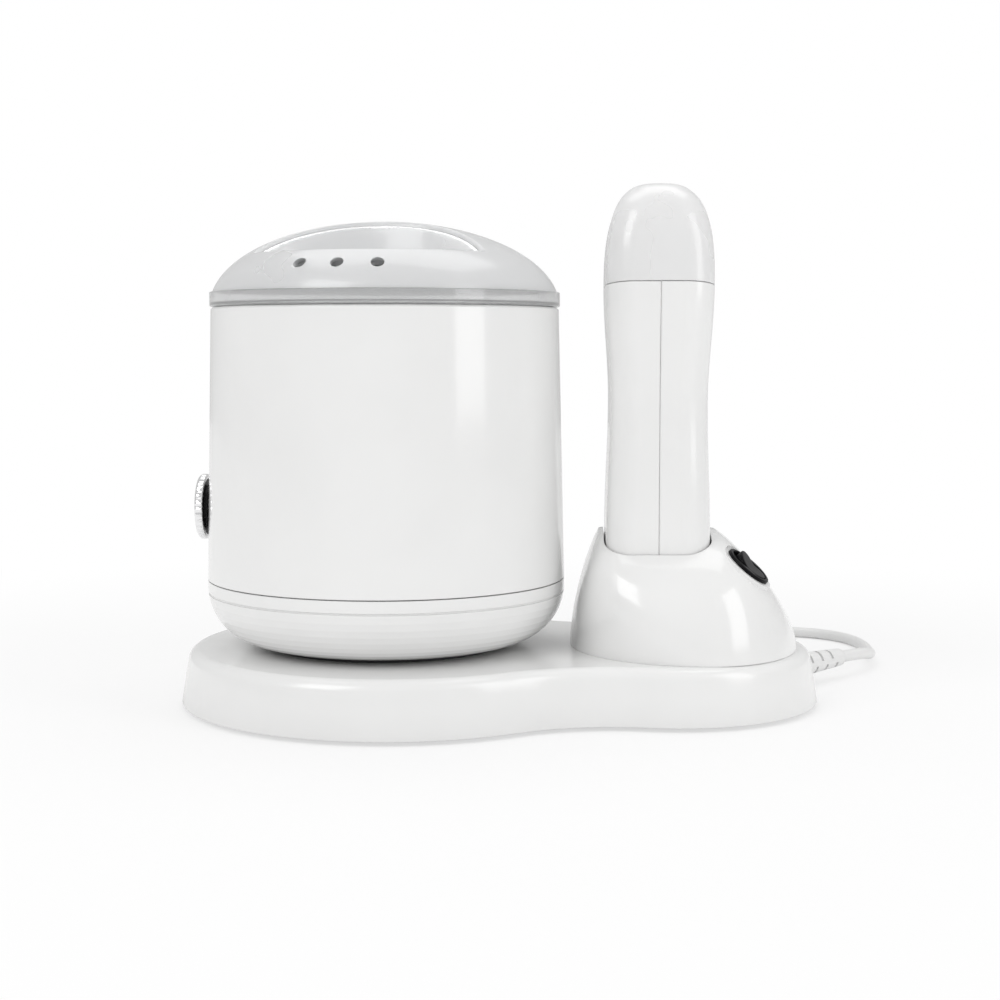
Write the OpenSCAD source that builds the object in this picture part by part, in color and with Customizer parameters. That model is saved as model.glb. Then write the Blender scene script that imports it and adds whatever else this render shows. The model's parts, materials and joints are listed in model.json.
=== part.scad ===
// Roll-on wax heater with a wax pot. Origin: middle of the base at the floor. Z up, -Y is the front.

/* [Base] */
// Radius of the base's end under the wax pot
pot_end_r = 104; // [100:1:116]
// Radius of the base's end under the dock
dock_end_r = 72; // [70:1:84]
// Distance between the centres of the two ends
end_gap = 131; // [126:1:150]
// Radius of the waist between the two ends
waist_r = 80; // [60:1:110]
// Height of the deck above the floor
deck_h = 28; // [26:0.5:34]
// Wall of the base cover
base_wall = 2.5; // [1.8:0.1:3]
// Rounding of the deck's edge
deck_edge_r = 6; // [4:0.5:7]
// Lean of the base's side wall in degrees
side_lean = 9; // [2:1:11]
// Thickness of the bottom plate
plate_t = 3; // [2:0.5:4]
// Gap under the bottom plate that the feet hold
floor_gap = 2; // [1.5:0.5:3]
// Diameter of a rubber foot
foot_d = 16; // [12:1:20]
// Distance of the pot's axis from the centre of its end
pot_shift = 5; // [0:1:7]
// Distance of the handset's axis from the centre of its end
hand_shift = 6; // [4:1:8]

/* [Wax pot] */
// Radius of the pot at its seam
pot_r = 86; // [84:0.5:90]
// Radius of the pot at its rim
pot_rim_r = 83; // [81:0.5:84]
// Height of the bowl-shaped lower shell
bowl_h = 31; // [29:1:36]
// Rounding of the bowl
bowl_r = 27; // [20:1:28]
// Height of the outer wall from the seam to the rim
wall_h = 129; // [122:1:140]
// Wall of the pot's two shells
pot_wall = 2.5; // [2:0.1:3]
// Gap between the deck and the pot's bottom
pot_gap = 2; // [1.5:0.5:4]
// Radius of the heating well
well_r = 63.5; // [60:0.5:65]
// Depth of the heating well under its flange
well_depth = 104; // [96:1:106]
// Wall of the heating well
well_wall = 1.2; // [1:0.1:1.5]
// Wall of the wax tin
tin_wall = 0.8; // [0.6:0.1:1.2]
// Radius of the bead rolled at the tin's rim
tin_bead_r = 2; // [1.6:0.1:2.4]
// Height of the knob's axis above the pot's seam
knob_up = 33; // [28:1:38]
// Radius of the knob's ribbed ring
knob_r = 15.8; // [14:0.2:18]
// Width of the knob's ribbed ring along its axis
knob_ring_w = 3.8; // [3:0.1:6]
// Radius of the control shaft
shaft_r = 3; // [2.5:0.1:3.5]

/* [Lid] */
// Height of the clear band
band_h = 7; // [5:0.5:9]
// Wall of the lid
lid_wall = 2.2; // [1.6:0.1:2.6]
// Height of the lid above the pot's rim
lid_h = 40.6; // [38:0.2:46]
// Radius of the ring that bounds the finger scoops
scoop_r = 65.5; // [60:0.5:67]
// Height of the scoops' floor above the pot's rim
scoop_h = 22; // [19:0.5:23]
// Half thickness of the grip ridge at its middle
ridge_half_t = 13; // [9:0.5:16]
// Turn of the grip ridge about the pot's axis
ridge_turn = -6; // [-30:1:30]
// Diameter of a vent hole
vent_d = 6; // [4:0.5:8]
// Angle between two vent holes
vent_step = 14; // [10:1:20]
// Turn of the vent holes from the front
vent_turn = -10.5; // [-20:0.5:20]

/* [Dock] */
// Height of the dock above the deck
dock_h = 55.5; // [52:0.5:60]
// Reach of the dock from the handset's axis towards the pot
dock_in = 41; // [40:0.5:42]
// Reach of the dock from the handset's axis away from the pot
dock_out = 68; // [66:0.5:69]
// Half of the dock's depth from front to back
dock_half_d = 61; // [59:0.5:62]
// Wall of the dock
dock_wall = 2.2; // [1.8:0.1:2.6]
// Gap round the handset in its opening
dock_gap = 0.7; // [0.5:0.1:1]
// Wall of the cup under the opening
cup_wall = 1.6; // [1.2:0.1:2]
// Thickness of the cup's floor
cup_floor = 4; // [3:0.5:5]
// Diameter of the switch's bezel
bezel_d = 23; // [21:0.5:25]
// Slope of the switch's seat in degrees
seat_slope = 40; // [36:1:44]
// Turn of the switch's seat towards the front in degrees
seat_turn = 16; // [8:1:20]
// Travel of the rocker in degrees
rocker_travel = 20; // [12:1:22]

/* [Handset] */
// Greatest width of the handset
hand_w = 50.6; // [49.5:0.1:51]
// Width of the handset at its waist
hand_waist_w = 45.6; // [45:0.1:47]
// Width of the handset at its foot
hand_foot_w = 49; // [48.5:0.1:49.4]
// Greatest depth of the handset from front to back
hand_d = 73; // [72:0.5:75]
// Corner radius of the handset
hand_corner_r = 14; // [11:0.5:15]
// Length of the handset without its cap
hand_len = 166; // [164:1:172]
// Height of the handset's waist above its foot
waist_up = 114; // [106:1:120]
// Length of the straight foot
foot_len = 48; // [46:1:52]
// Wall of the handset
hand_wall = 2; // [1.6:0.1:2.4]
// Height of the cap
cap_h = 47.5; // [45.5:0.5:52]
// Wall of the cap
cap_wall = 1.6; // [1.2:0.1:2]
// Rise of the cap's lower edge at the front and back
cap_arch = 3; // [0:0.5:4]

/* [Cartridge] */
// Thickness of the cartridge
tank_w = 32; // [28:0.5:33]
// Width of the cartridge
tank_d = 57; // [54:0.5:58]
// Length of the cartridge's tank
tank_len = 109; // [104:1:111]
// Radius of the roller
roller_r = 8.5; // [7:0.1:9]
// Length of the roller
roller_len = 47; // [42:0.5:48]
// Radius of the roller's pins
pin_r = 2; // [1.5:0.1:2.5]

/* [Lead] */
// Diameter of the mains lead
lead_d = 6; // [5:0.1:6.2]
// Length of the strain relief outside the base
relief_len = 42; // [30:1:50]
// Diameter of the strain relief at its root
relief_root_d = 13; // [11:0.5:15]
// Diameter of the strain relief at its tip
relief_tip_d = 9; // [8.5:0.1:10]
// Diameter of a plug pin
plug_pin_d = 4; // [3.9:0.1:4.8]
// Distance between the plug's pins
plug_pitch = 19; // [18:0.5:20]

/* [Hidden] */
$fn = 96;
e = 0.01;        // overrun of a cut past the face that it opens
rest_gap = 0.3;  // clearance under a part that lifts off
slip = 0.05;     // radial clearance of a turning fit

// Plan of the base
base_len = pot_end_r + end_gap + dock_end_r;
pot_end_x = -base_len / 2 + pot_end_r;
dock_end_x = base_len / 2 - dock_end_r;
pot_x = pot_end_x - pot_shift;
hand_x = dock_end_x - hand_shift;
waist_x = ((pot_end_r + waist_r) ^ 2 - (dock_end_r + waist_r) ^ 2 + end_gap ^ 2) / (2 * end_gap);
waist_y = sqrt((pot_end_r + waist_r) ^ 2 - waist_x ^ 2);
pot_end_a = atan2(waist_y, waist_x);
dock_end_a = atan2(waist_y, end_gap - waist_x);
deck_z = deck_h;
deck_under = deck_h - base_wall;
plate_top = floor_gap + plate_t;
plate_fit = 0.2;
foot_sink = 1;
boss_r = 4.5;
screw_r = 1.6;
head_r = 3.4;
head_h = 2;

// Heights of the wax pot
pot_z = deck_z + pot_gap;
seam_z = pot_z + bowl_h;
rim_z = seam_z + wall_h;
shelf_t = 2.5;
shelf_drop = 7;
shelf_z = rim_z - shelf_drop;
shelf_in_r = well_r + 1.5;
flange_t = 1.5;
flange_r = well_r + 6;
well_top = shelf_z + shelf_t + flange_t;
well_z = shelf_z + shelf_t - well_depth;
tin_r = well_r - well_wall - 0.8;
tin_z = well_z + well_wall + 1;
bead_z = well_top + tin_bead_r + rest_gap;
knob_z = seam_z + knob_up;
function pot_r_at(z) = pot_r + (pot_rim_r - pot_r) * (z - seam_z) / wall_h;
knob_wall_r = pot_r_at(knob_z);
stat_face = sqrt((knob_wall_r - pot_wall) ^ 2 - 14 ^ 2) - 1;
stat_depth = 11;

// Lid
lid_r = pot_rim_r + 0.5;
skirt_r = pot_rim_r - pot_wall - 0.9;
skirt_t = 2;
skirt_drop = 3.2;
ridge_off = (scoop_r ^ 2 - ridge_half_t ^ 2) / (2 * (scoop_r * 0.59 - ridge_half_t));

// Dock and handset
dock_cx = hand_x + 9;
dock_top = deck_z + dock_h;
opening_w = hand_foot_w + 2 * dock_gap;
hand_foot_d = hand_d - (hand_w - hand_foot_w);
opening_d = hand_foot_d + 2 * dock_gap;
hand_z = deck_z + cup_floor + rest_gap;
cap_z = hand_z + hand_len;
cap_fit = 0.3;
cup_h = dock_h - 16;
seat_x = hand_x + 41.7;
seat_y = -27;
seat_h = deck_z + 41;
switch_hole_r = bezel_d / 2 - 1.4;
window_r = bezel_d / 2 - 1.8;
pivot_z = -1.5;

// Cartridge
floor_t = 2.5;
sleeve_gap = 0.5;
sleeve_t = 1.5;
sleeve_z = cap_z - tank_len - 4;
tank_z = sleeve_z + sleeve_t + rest_gap;
tank_top = tank_z + tank_len;
roller_z = tank_top + 26;

// Points of an arc from angle a0 to a1
function arc(cx, cy, r, a0, a1, n) =
  [for (i = [0:n]) let (a = a0 + (a1 - a0) * i / n) [cx + r * cos(a), cy + r * sin(a)]];

// Outline of a rectangle with round corners, k steps a corner
function round_rect(w, d, r, k = 7) = concat(
  arc(w / 2 - r, d / 2 - r, r, 0, 90, k), arc(-w / 2 + r, d / 2 - r, r, 90, 180, k),
  arc(-w / 2 + r, -d / 2 + r, r, 180, 270, k), arc(w / 2 - r, -d / 2 + r, r, 270, 360, k));

// Half of such an outline on the -X side, from the back to the front
function half_rect(w, d, r, k = 7) = concat([[0, d / 2]],
  arc(-w / 2 + r, d / 2 - r, r, 90, 180, k), arc(-w / 2 + r, -d / 2 + r, r, 180, 270, k),
  [[0, -d / 2]]);

// Triangles between rings a and b of n points, counted from point index s
function band_faces(a, b, n, closed = true) = [for (i = [0:(closed ? n - 1 : n - 2)])
  let (j = (i + 1) % n) each [[a + i, b + j, a + j], [a + i, b + i, b + j]]];
function fan_faces(a, n) = [for (i = [1:n - 2]) [a, a + i, a + i + 1]];
function flipped(faces) = [for (f = faces) [f[0], f[2], f[1]]];

// Solid through a stack of rings with equal numbers of points, anticlockwise and rising
// A hollow outline has whole ends, and a peak makes the upper end rise to a point
module skin(rings, whole_ends = false, peak = []) {
  n = len(rings[0]);
  m = len(rings);
  last = (m - 1) * n;
  low_end = whole_ends ? [[for (i = [0:n - 1]) i]] : fan_faces(0, n);
  high_end = len(peak) > 0 ? [for (i = [0:n - 1]) [last + (i + 1) % n, last + i, m * n]]
    : whole_ends ? [[for (i = [n - 1:-1:0]) last + i]] : flipped(fan_faces(last, n));
  faces = concat([for (k = [0:m - 2]) each band_faces(k * n, (k + 1) * n, n)], low_end, high_end);
  polyhedron(points = concat([for (r = rings) each r], len(peak) > 0 ? [peak] : []), faces = faces);
}

// Cup open at the bottom: outer rings rising, inner rings rising
module hood(outer, inner) {
  n = len(outer[0]);
  m = len(outer);
  q = len(inner);
  s = m * n;
  faces = concat([for (k = [0:m - 2]) each band_faces(k * n, (k + 1) * n, n)],
    flipped(fan_faces((m - 1) * n, n)),
    [for (k = [0:q - 2]) each flipped(band_faces(s + k * n, s + (k + 1) * n, n))],
    fan_faces(s + (q - 1) * n, n), flipped(band_faces(0, s, n)));
  polyhedron(points = [for (r = concat(outer, inner)) each r], faces = faces);
}

// Straight C-shaped wall through a stack of outer and inner half rings
module half_wall(outer, inner) {
  n = len(outer[0]);
  m = len(outer);
  s = m * n;
  t = (m - 1) * n;
  faces = concat([for (k = [0:m - 2]) each band_faces(k * n, (k + 1) * n, n, false)],
    [for (k = [0:m - 2]) each flipped(band_faces(s + k * n, s + (k + 1) * n, n, false))],
    [for (i = [0:n - 2]) each [[i, i + 1, s + i + 1], [i, s + i + 1, s + i]]],
    [for (i = [0:n - 2]) each [[t + i, s + t + i + 1, t + i + 1], [t + i, s + t + i, s + t + i + 1]]],
    [for (k = [0:m - 2]) let (a = k * n, b = a + n) each [[a, s + a, s + b], [a, s + b, b]]],
    [for (k = [0:m - 2]) let (a = k * n + n - 1, b = a + n) each [[a, s + b, s + a], [a, b, s + b]]]);
  polyhedron(points = [for (r = concat(outer, inner)) each r], faces = faces);
}

// Outline of the base drawn in by inset: round ends joined by hollow waists
function peanut_outline(inset) = concat(
  arc(pot_end_x, 0, pot_end_r - inset, pot_end_a, 360 - pot_end_a, 60),
  inner_points(arc(pot_end_x + waist_x, -waist_y, waist_r + inset, 180 - pot_end_a, dock_end_a, 10)),
  arc(dock_end_x, 0, dock_end_r - inset, dock_end_a - 180, 180 - dock_end_a, 40),
  inner_points(arc(pot_end_x + waist_x, waist_y, waist_r + inset, 360 - dock_end_a, 180 + pot_end_a, 10)));
function inner_points(pts) = [for (i = [1:len(pts) - 2]) pts[i]];

// Inset and height along a leaning side with a rounded upper edge, from z0 up to z1
function edge_profile(z0, z1, edge, lean, steps) =
  let (back = (edge - (z0 - z1 + edge) * sin(lean)) / cos(lean))
  concat([[0, z0]], [for (p = arc(-back, z1 - edge, edge, lean, 90, steps)) [-p[0], p[1]]]);

// Solid on the base's plan, drawn in by inset
module peanut(inset, z0, z1, edge, lean, steps, crown = 0) {
  skin([for (p = edge_profile(z0, z1, edge, lean, steps)) [for (q = peanut_outline(inset + p[0])) [q[0], q[1], p[1]]]],
    whole_ends = true, peak = crown > 0 ? [pot_end_x + waist_x, 0, z1 + crown] : []);
}

plate_screw_spots = concat(
  [for (a = [105, 180, 255]) [pot_end_x + (pot_end_r - 20) * cos(a), (pot_end_r - 20) * sin(a)]],
  [for (a = [-75, 0, 75]) [dock_end_x + (dock_end_r - 20) * cos(a), (dock_end_r - 20) * sin(a)]]);
foot_spots = concat(
  [for (a = [60, 140, 220, 300]) [pot_end_x + (pot_end_r - 26) * cos(a), (pot_end_r - 26) * sin(a)]],
  [for (a = [-40, 40]) [dock_end_x + (dock_end_r - 22) * cos(a), (dock_end_r - 22) * sin(a)]]);
seat_mid_r = pot_r - bowl_r - 6;
seat_half_w = 4;
pot_screw_spots = [for (a = [45:90:315]) [pot_x + seat_mid_r * cos(a), seat_mid_r * sin(a)]];
wire_hole_r = 9;

// Line of the strain relief: it leaves the dock's end level and turned to the back
relief_z = 10.5;
relief_turn = 45;
relief_at = 28;
relief_root = [dock_end_x + (dock_end_r - 1) * cos(relief_at), (dock_end_r - 1) * sin(relief_at), relief_z];
module along_relief() { translate(relief_root) rotate([0, 90, relief_turn]) children(); }

module base_cover() color("white") {
  difference() {
    peanut(0, floor_gap, deck_z, deck_edge_r, side_lean, 8);
    peanut(base_wall, floor_gap - e, deck_under, deck_edge_r - base_wall / 2, side_lean, 5, 0.4);
    for (p = pot_screw_spots)
      translate([p[0], p[1], deck_under - e]) cylinder(h = base_wall + 2 * e, r = screw_r + 0.3);
    translate([pot_x, 0, deck_under - e]) cylinder(h = base_wall + 2 * e, r = wire_hole_r);
    translate([hand_x + 44, 0, deck_under - e]) cylinder(h = base_wall + 2 * e, r = wire_hole_r);
    along_relief() translate([0, 0, -12]) cylinder(h = 24, r = relief_root_d / 2 + 0.1);
  }
  for (p = plate_screw_spots) translate([p[0], p[1], plate_top]) difference() {
    cylinder(h = deck_under - plate_top + 1, r = boss_r);
    translate([0, 0, -e]) cylinder(h = 12, r = screw_r + 0.02);
  }
}

module base_plate() color("gainsboro") difference() {
  peanut(base_wall + plate_fit + 0.8, floor_gap, plate_top, 0.5, 0, 2);
  for (p = plate_screw_spots) translate([p[0], p[1], floor_gap - e]) {
    cylinder(h = plate_t + 1, r = screw_r + 0.3);
    cylinder(h = head_h + 0.3, r = head_r + 0.2);
  }
  for (p = foot_spots)
    translate([p[0], p[1], floor_gap - e]) cylinder(h = foot_sink + e, r = foot_d / 2 + 0.1);
  along_relief() translate([0, 0, -12]) cylinder(h = 24, r = relief_root_d / 2 + 2.3);
}

module rubber_feet() color("dimgray") for (p = foot_spots) translate([p[0], p[1], 0]) {
  cylinder(h = floor_gap + foot_sink, r = foot_d / 2);
}

module plate_screws() color("silver") for (p = plate_screw_spots)
  translate([p[0], p[1], floor_gap + head_h + 0.2]) difference() {
    union() {
      translate([0, 0, -head_h]) cylinder(h = head_h, r = head_r);
      cylinder(h = 10, r = screw_r);
    }
    for (a = [0, 90]) rotate([0, 0, a]) translate([-2, -0.4, -head_h - e]) cube([4, 0.8, 1.1]);
  }

module terminal_block() color("ivory") {
  translate([dock_end_x + 12, 6, plate_top]) difference() {
    cube([26, 14, 10]);
    for (x = [5, 13, 21]) translate([x, 7, 3]) cylinder(h = 8, r = 2);
  }
}

module pot_seat_ring() color("dimgray") translate([pot_x, 0, deck_z]) difference() {
  cylinder(h = pot_gap, r = seat_mid_r + seat_half_w);
  translate([0, 0, -e]) cylinder(h = pot_gap + 2 * e, r = seat_mid_r - seat_half_w);
  for (p = pot_screw_spots)
    translate([p[0] - pot_x, p[1], -e]) cylinder(h = pot_gap + 2 * e, r = screw_r + 0.3);
}

module pot_screws() color("silver") for (p = pot_screw_spots) translate([p[0], p[1], deck_under]) {
  translate([0, 0, -head_h]) cylinder(h = head_h, r = head_r);
  cylinder(h = base_wall + pot_gap + pot_wall + 6, r = screw_r);
}

// Bowl section drawn in by inset
module bowl_section(inset) polygon(concat([[0, pot_z + inset]],
  arc(pot_r - bowl_r, pot_z + bowl_r, bowl_r - inset, -90, 0, 12),
  [[pot_r - inset, seam_z - 0.5], [0, seam_z - 0.5]]));

module pot_bottom_shell() color("white") translate([pot_x, 0, 0]) {
  lip_r = pot_r_at(seam_z + 4) - pot_wall - 0.1;
  difference() {
    union() {
      rotate_extrude() bowl_section(0);
      translate([0, 0, seam_z - 4]) cylinder(h = 8, r = lip_r);
    }
    rotate_extrude() difference() {
      bowl_section(pot_wall);
      translate([0, seam_z - 6]) square([pot_r, 10]);
    }
    translate([0, 0, seam_z - 6 - e]) cylinder(h = 20, r = lip_r - 1.8);
    translate([0, 0, -e]) cylinder(h = pot_z, r = pot_r);
    rotate_extrude() translate([pot_r, seam_z - 6.5]) square([1.2, 0.8], center = true);
    for (p = pot_screw_spots) translate([p[0] - pot_x, p[1], pot_z - e]) cylinder(h = 10, r = screw_r + 0.02);
    translate([0, 0, pot_z - e]) cylinder(h = pot_wall + 2 * e, r = wire_hole_r);
  }
  for (p = pot_screw_spots) translate([p[0] - pot_x, p[1], pot_z + pot_wall - e]) difference() {
    cylinder(h = 8, r = boss_r);
    translate([0, 0, -e]) cylinder(h = 10, r = screw_r + 0.02);
  }
}

module pot_housing() color("white") translate([pot_x, 0, 0]) difference() {
  rotate_extrude() polygon([[pot_r, seam_z], [pot_r_at(rim_z - 1), rim_z - 1], [pot_rim_r - 1, rim_z],
    [pot_rim_r - pot_wall, rim_z], [pot_r_at(shelf_z + shelf_t) - pot_wall, shelf_z + shelf_t],
    [shelf_in_r, shelf_z + shelf_t], [shelf_in_r, shelf_z],
    [pot_r_at(shelf_z) - pot_wall, shelf_z], [pot_r - pot_wall, seam_z]]);
  translate([0, 0, knob_z]) rotate([0, -90, 0]) cylinder(h = pot_r + 1, r = shaft_r + 1.8);
}

module heating_well() color("silver") translate([pot_x, 0, 0]) rotate_extrude()
  polygon([[0, well_z], [well_r, well_z], [well_r, well_top - flange_t], [flange_r, well_top - flange_t],
    [flange_r, well_top], [well_r - well_wall, well_top], [well_r - well_wall, well_z + well_wall],
    [0, well_z + well_wall]]);

heater_z = knob_z + 26;
heater_h = 40;
module band_heater() color("darkgoldenrod") translate([pot_x, 0, heater_z]) {
  difference() {
    cylinder(h = heater_h, r = well_r + 2);
    translate([0, 0, -e]) cylinder(h = heater_h + 2 * e, r = well_r);
    translate([-1.5, 0, -e]) cube([3, pot_r, heater_h + 2 * e]);
  }
  for (x = [-4, 1.5]) translate([x, well_r + 1.5, 0]) cube([2.5, 6, heater_h]);
}

module insulation_wrap() color("lightyellow") translate([pot_x, 0, heater_z - 2]) difference() {
  cylinder(h = heater_h + 4, r = well_r + 8);
  translate([0, 0, -e]) cylinder(h = heater_h + 5, r = well_r + 2);
  translate([-6, 0, -e]) cube([12, pot_r, heater_h + 5]);
}

module thermal_cutout() color("silver") translate([pot_x + 20, 0, well_z]) {
  translate([0, 0, -4]) cylinder(h = 4, r = 8);
  translate([0, 0, -8]) cylinder(h = 4 + e, r = 6);
  for (x = [-6.5, 3.5]) translate([x, -3, -12]) cube([3, 6, 5]);
}

module along_knob() { translate([pot_x, 0, knob_z]) rotate([0, -90, 0]) children(); }

module thermostat() color("ivory") along_knob() difference() {
  union() {
    translate([-13, -14, stat_face - stat_depth]) cube([26, 28, stat_depth]);
    translate([0, 0, stat_face - e]) cylinder(h = knob_wall_r - stat_face - 0.5, r = shaft_r + 1.6);
  }
  translate([0, 0, stat_face - 8]) cylinder(h = 20, r = shaft_r + slip);
}

hub_back = knob_wall_r + 0.5;
ring_back = knob_wall_r + 2;
module control_shaft() color("silver") along_knob()
  translate([0, 0, stat_face - 7]) cylinder(h = ring_back + 1.4 - stat_face + 7, r = shaft_r);

module knob_hub() color("black") along_knob() difference() {
  union() {
    translate([0, 0, hub_back]) cylinder(h = 1.6, r = knob_r - 5.2);
    translate([0, 0, ring_back]) cylinder(h = knob_ring_w - 0.8, r = knob_r - 2.2);
  }
  translate([0, 0, hub_back - e]) cylinder(h = ring_back + 1.4 - hub_back + e, r = shaft_r);
}

rib_count = 36;
module knob_ring() color("silver") along_knob() translate([0, 0, ring_back]) difference() {
  union() {
    cylinder(h = knob_ring_w - 0.8, r = knob_r - 0.5);
    translate([0, 0, knob_ring_w - 0.8 - e]) cylinder(h = 0.8, r1 = knob_r - 0.5, r2 = knob_r - 1.3);
    for (k = [0:rib_count - 1]) rotate([0, 0, k * 360 / rib_count]) translate([knob_r - 0.7, -0.7, 0])
      cube([0.7, 1.4, knob_ring_w - 1]);
  }
  translate([0, 0, -e]) cylinder(h = knob_ring_w + 2 * e, r = knob_r - 2.2);
}

module knob_face() color("silver") along_knob() translate([0, 0, ring_back + knob_ring_w - 0.8]) {
  difference() {
    cylinder(h = 0.6, r = knob_r - 2.8);
    rotate([0, 0, 180]) translate([knob_r * 0.35, -0.7, 0.3]) cube([knob_r * 0.4, 1.4, 1]);
  }
}

module wax_tin() color("silver") translate([pot_x, 0, 0]) rotate_extrude() {
  polygon([[0, tin_z], [tin_r - 2, tin_z], [tin_r, tin_z + 2], [tin_r, bead_z], [tin_r + tin_bead_r, bead_z],
    [tin_r + tin_bead_r, bead_z + tin_wall], [tin_r - tin_wall, bead_z + tin_wall],
    [tin_r - tin_wall, tin_z + 2.4], [tin_r - 2.4, tin_z + tin_wall], [0, tin_z + tin_wall]]);
  translate([tin_r + tin_bead_r, bead_z]) circle(tin_bead_r);
}

module lid_rim() color("whitesmoke") translate([pot_x, 0, rim_z + rest_gap]) rotate_extrude()
  polygon([[skirt_r - skirt_t, -skirt_drop], [skirt_r, -skirt_drop], [skirt_r, 0], [lid_r, 0],
    [lid_r, band_h - rest_gap], [lid_r - lid_wall, band_h - rest_gap], [lid_r - lid_wall, 1.6],
    [skirt_r - skirt_t, 1.6]]);

// Radius of the lid's dome at height h above the rim, drawn in by inset
function dome_pts(inset, h0) = let (a = lid_r - inset, b = lid_h - inset, t0 = asin(h0 / b))
  [for (i = [0:22]) let (t = t0 + (90 - t0) * i / 22) [a * cos(t), b * sin(t)]];
module dome_section(inset, h0) polygon(concat([[0, h0]], dome_pts(inset, h0)));

// The two finger scoops, grown by grow, above height h
module scoops(grow, h) for (s = [0, 180]) rotate([0, 0, ridge_turn + s]) translate([0, 0, h]) intersection() {
  cylinder(h = lid_h, r = scoop_r + grow);
  translate([0, -ridge_off, 0]) cylinder(h = lid_h, r = ridge_off - ridge_half_t + grow);
}

module lid_dome() color("gainsboro") translate([pot_x, 0, rim_z]) difference() {
  rotate_extrude() dome_section(0, band_h);
  difference() {
    rotate_extrude() dome_section(lid_wall, band_h - 1);
    scoops(lid_wall, scoop_h - lid_wall);
  }
  scoops(0, scoop_h);
  for (k = [-1:1]) rotate([0, 0, vent_turn + k * vent_step])
    translate([0, -lid_r * 0.887, lid_h * 0.455]) rotate([58, 0, 0])
      translate([0, 0, -6]) cylinder(h = 12, r = vent_d / 2);
}

// Ring of the dock at share t of its height, drawn in by inset
dock_n = 48;
dock_crest = opening_w / 2 + 1.2;
function dock_ring(t, inset, z) = let (
  n = 2 + 3 * t ^ 2,
  xl = hand_x - dock_in + 14 * t ^ 1.8 + inset,
  xr = hand_x + dock_crest + (dock_out - dock_crest) * (1 - t ^ 1.5) ^ 0.85 - inset,
  xc = dock_cx + 11 - 20 * t,
  b = dock_half_d * (1 - t ^ 2.2) ^ (1 / 2.2) - inset)
  [for (i = [0:dock_n - 1]) let (a = 360 * i / dock_n, c = cos(a), s = sin(a))
    [xc + sign(c) * abs(c) ^ (2 / n) * (c > 0 ? xr - xc : xc - xl), sign(s) * abs(s) ^ (2 / n) * b, z]];
dock_steps = 16;
function dock_rings(inset, low) = [for (i = [0:dock_steps]) let (t = 0.975 * sin(90 * i / dock_steps))
  dock_ring(t, inset, deck_z + (dock_h - inset) * t / 0.975 - (i == 0 ? low : 0))];

module at_switch() { translate([seat_x, seat_y, seat_h]) rotate([0, seat_slope, -seat_turn]) children(); }

module dock_housing() color("white") difference() {
  union() {
    skin(dock_rings(0, 0));
    at_switch() translate([0, 0, -8]) cylinder(h = 8, r = bezel_d / 2 + 2);
  }
  skin(dock_rings(dock_wall, 1));
  translate([hand_x, 0, deck_z]) linear_extrude(dock_h + 10)
    polygon(round_rect(opening_w, opening_d, hand_corner_r));
  at_switch() {
    translate([0, 0, -20]) cylinder(h = 30, r = switch_hole_r + 0.1);
    cylinder(h = 20, r = bezel_d / 2 + 2);
  }
  translate([hand_x, -dock_half_d, deck_z - 10]) cube([dock_out, 2 * dock_half_d, 10]);
}

module dock_cup() color("whitesmoke") translate([hand_x, 0, deck_z]) difference() {
  linear_extrude(cup_h) polygon(round_rect(opening_w + 2 * cup_wall, opening_d + 2 * cup_wall,
    hand_corner_r + cup_wall));
  translate([0, 0, cup_floor]) linear_extrude(cup_h) polygon(round_rect(opening_w, opening_d, hand_corner_r));
  for (y = [-12, 12]) translate([0, y, -e]) cylinder(h = cup_floor + 2 * e, r = 3);
}

contact_r = 3;
contact_y = 12;
module dock_contacts() color("gold") for (y = [-contact_y, contact_y])
  translate([hand_x, y, deck_z]) cylinder(h = cup_floor + floor_t, r = contact_r);

body_h = 11.2;
blade_out = 5.4;
pin_up = pivot_z - 2.5;
window_half = 7.6;
module switch_body() color("black") at_switch() difference() {
  union() {
    cylinder(h = 1.6, r = bezel_d / 2);
    translate([0, 0, -body_h]) cylinder(h = body_h + e, r = switch_hole_r);
  }
  intersection() {
    translate([0, 0, 1.5 - body_h]) cylinder(h = body_h + 1, r = window_r);
    translate([-window_r, -window_half, -body_h]) cube([2 * window_r, 2 * window_half, 2 * body_h]);
  }
  translate([0, 0, pin_up]) rotate([90, 0, 0])
    cylinder(h = 2 * window_half + 3.2, r = pivot_pin_r + slip, center = true);
}

module switch_terminals() color("gold") at_switch() for (x = [-5, 0, 5])
  translate([x - 0.4, -2.4, -body_h - blade_out]) cube([0.8, 4.8, blade_out]);

rocker_r = window_r - 1.4;
pivot_pin_r = 1.2;
module rocker() color("black") at_switch() translate([0, 0, pin_up]) rotate([0, rocker_travel / 2, 0]) {
  intersection() {
    cylinder(h = 30, r = rocker_r, center = true);
    rotate([90, 0, 0]) linear_extrude(2 * (window_half - 0.3), center = true)
      polygon(concat([[rocker_r, 7.6], [0, 5.4], [-rocker_r, 7.6]], arc(0, 1.6, 6.5, 190, 350, 12)));
  }
  rotate([90, 0, 0]) cylinder(h = 2 * window_half + 2.8, r = pivot_pin_r, center = true);
}

// Width of the handset at height u above its foot, and of its cap at height u above the cap's edge
function smooth(t) = t * t * (3 - 2 * t);
function hand_w_at(u) = u <= foot_len ? hand_foot_w
  : u <= waist_up ? hand_foot_w + (hand_waist_w - hand_foot_w) * smooth((u - foot_len) / (waist_up - foot_len))
  : hand_waist_w + (hand_w - hand_waist_w) * smooth((u - waist_up) / (hand_len - waist_up));
function cap_w_at(t) = hand_w * (1 - t ^ 2.6) ^ (1 / 3.2);
function hand_d_at(w) = hand_d - (hand_w - w);
function corner_at(w, inset) = min(hand_corner_r, w / 2 - 1) - inset;

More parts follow.
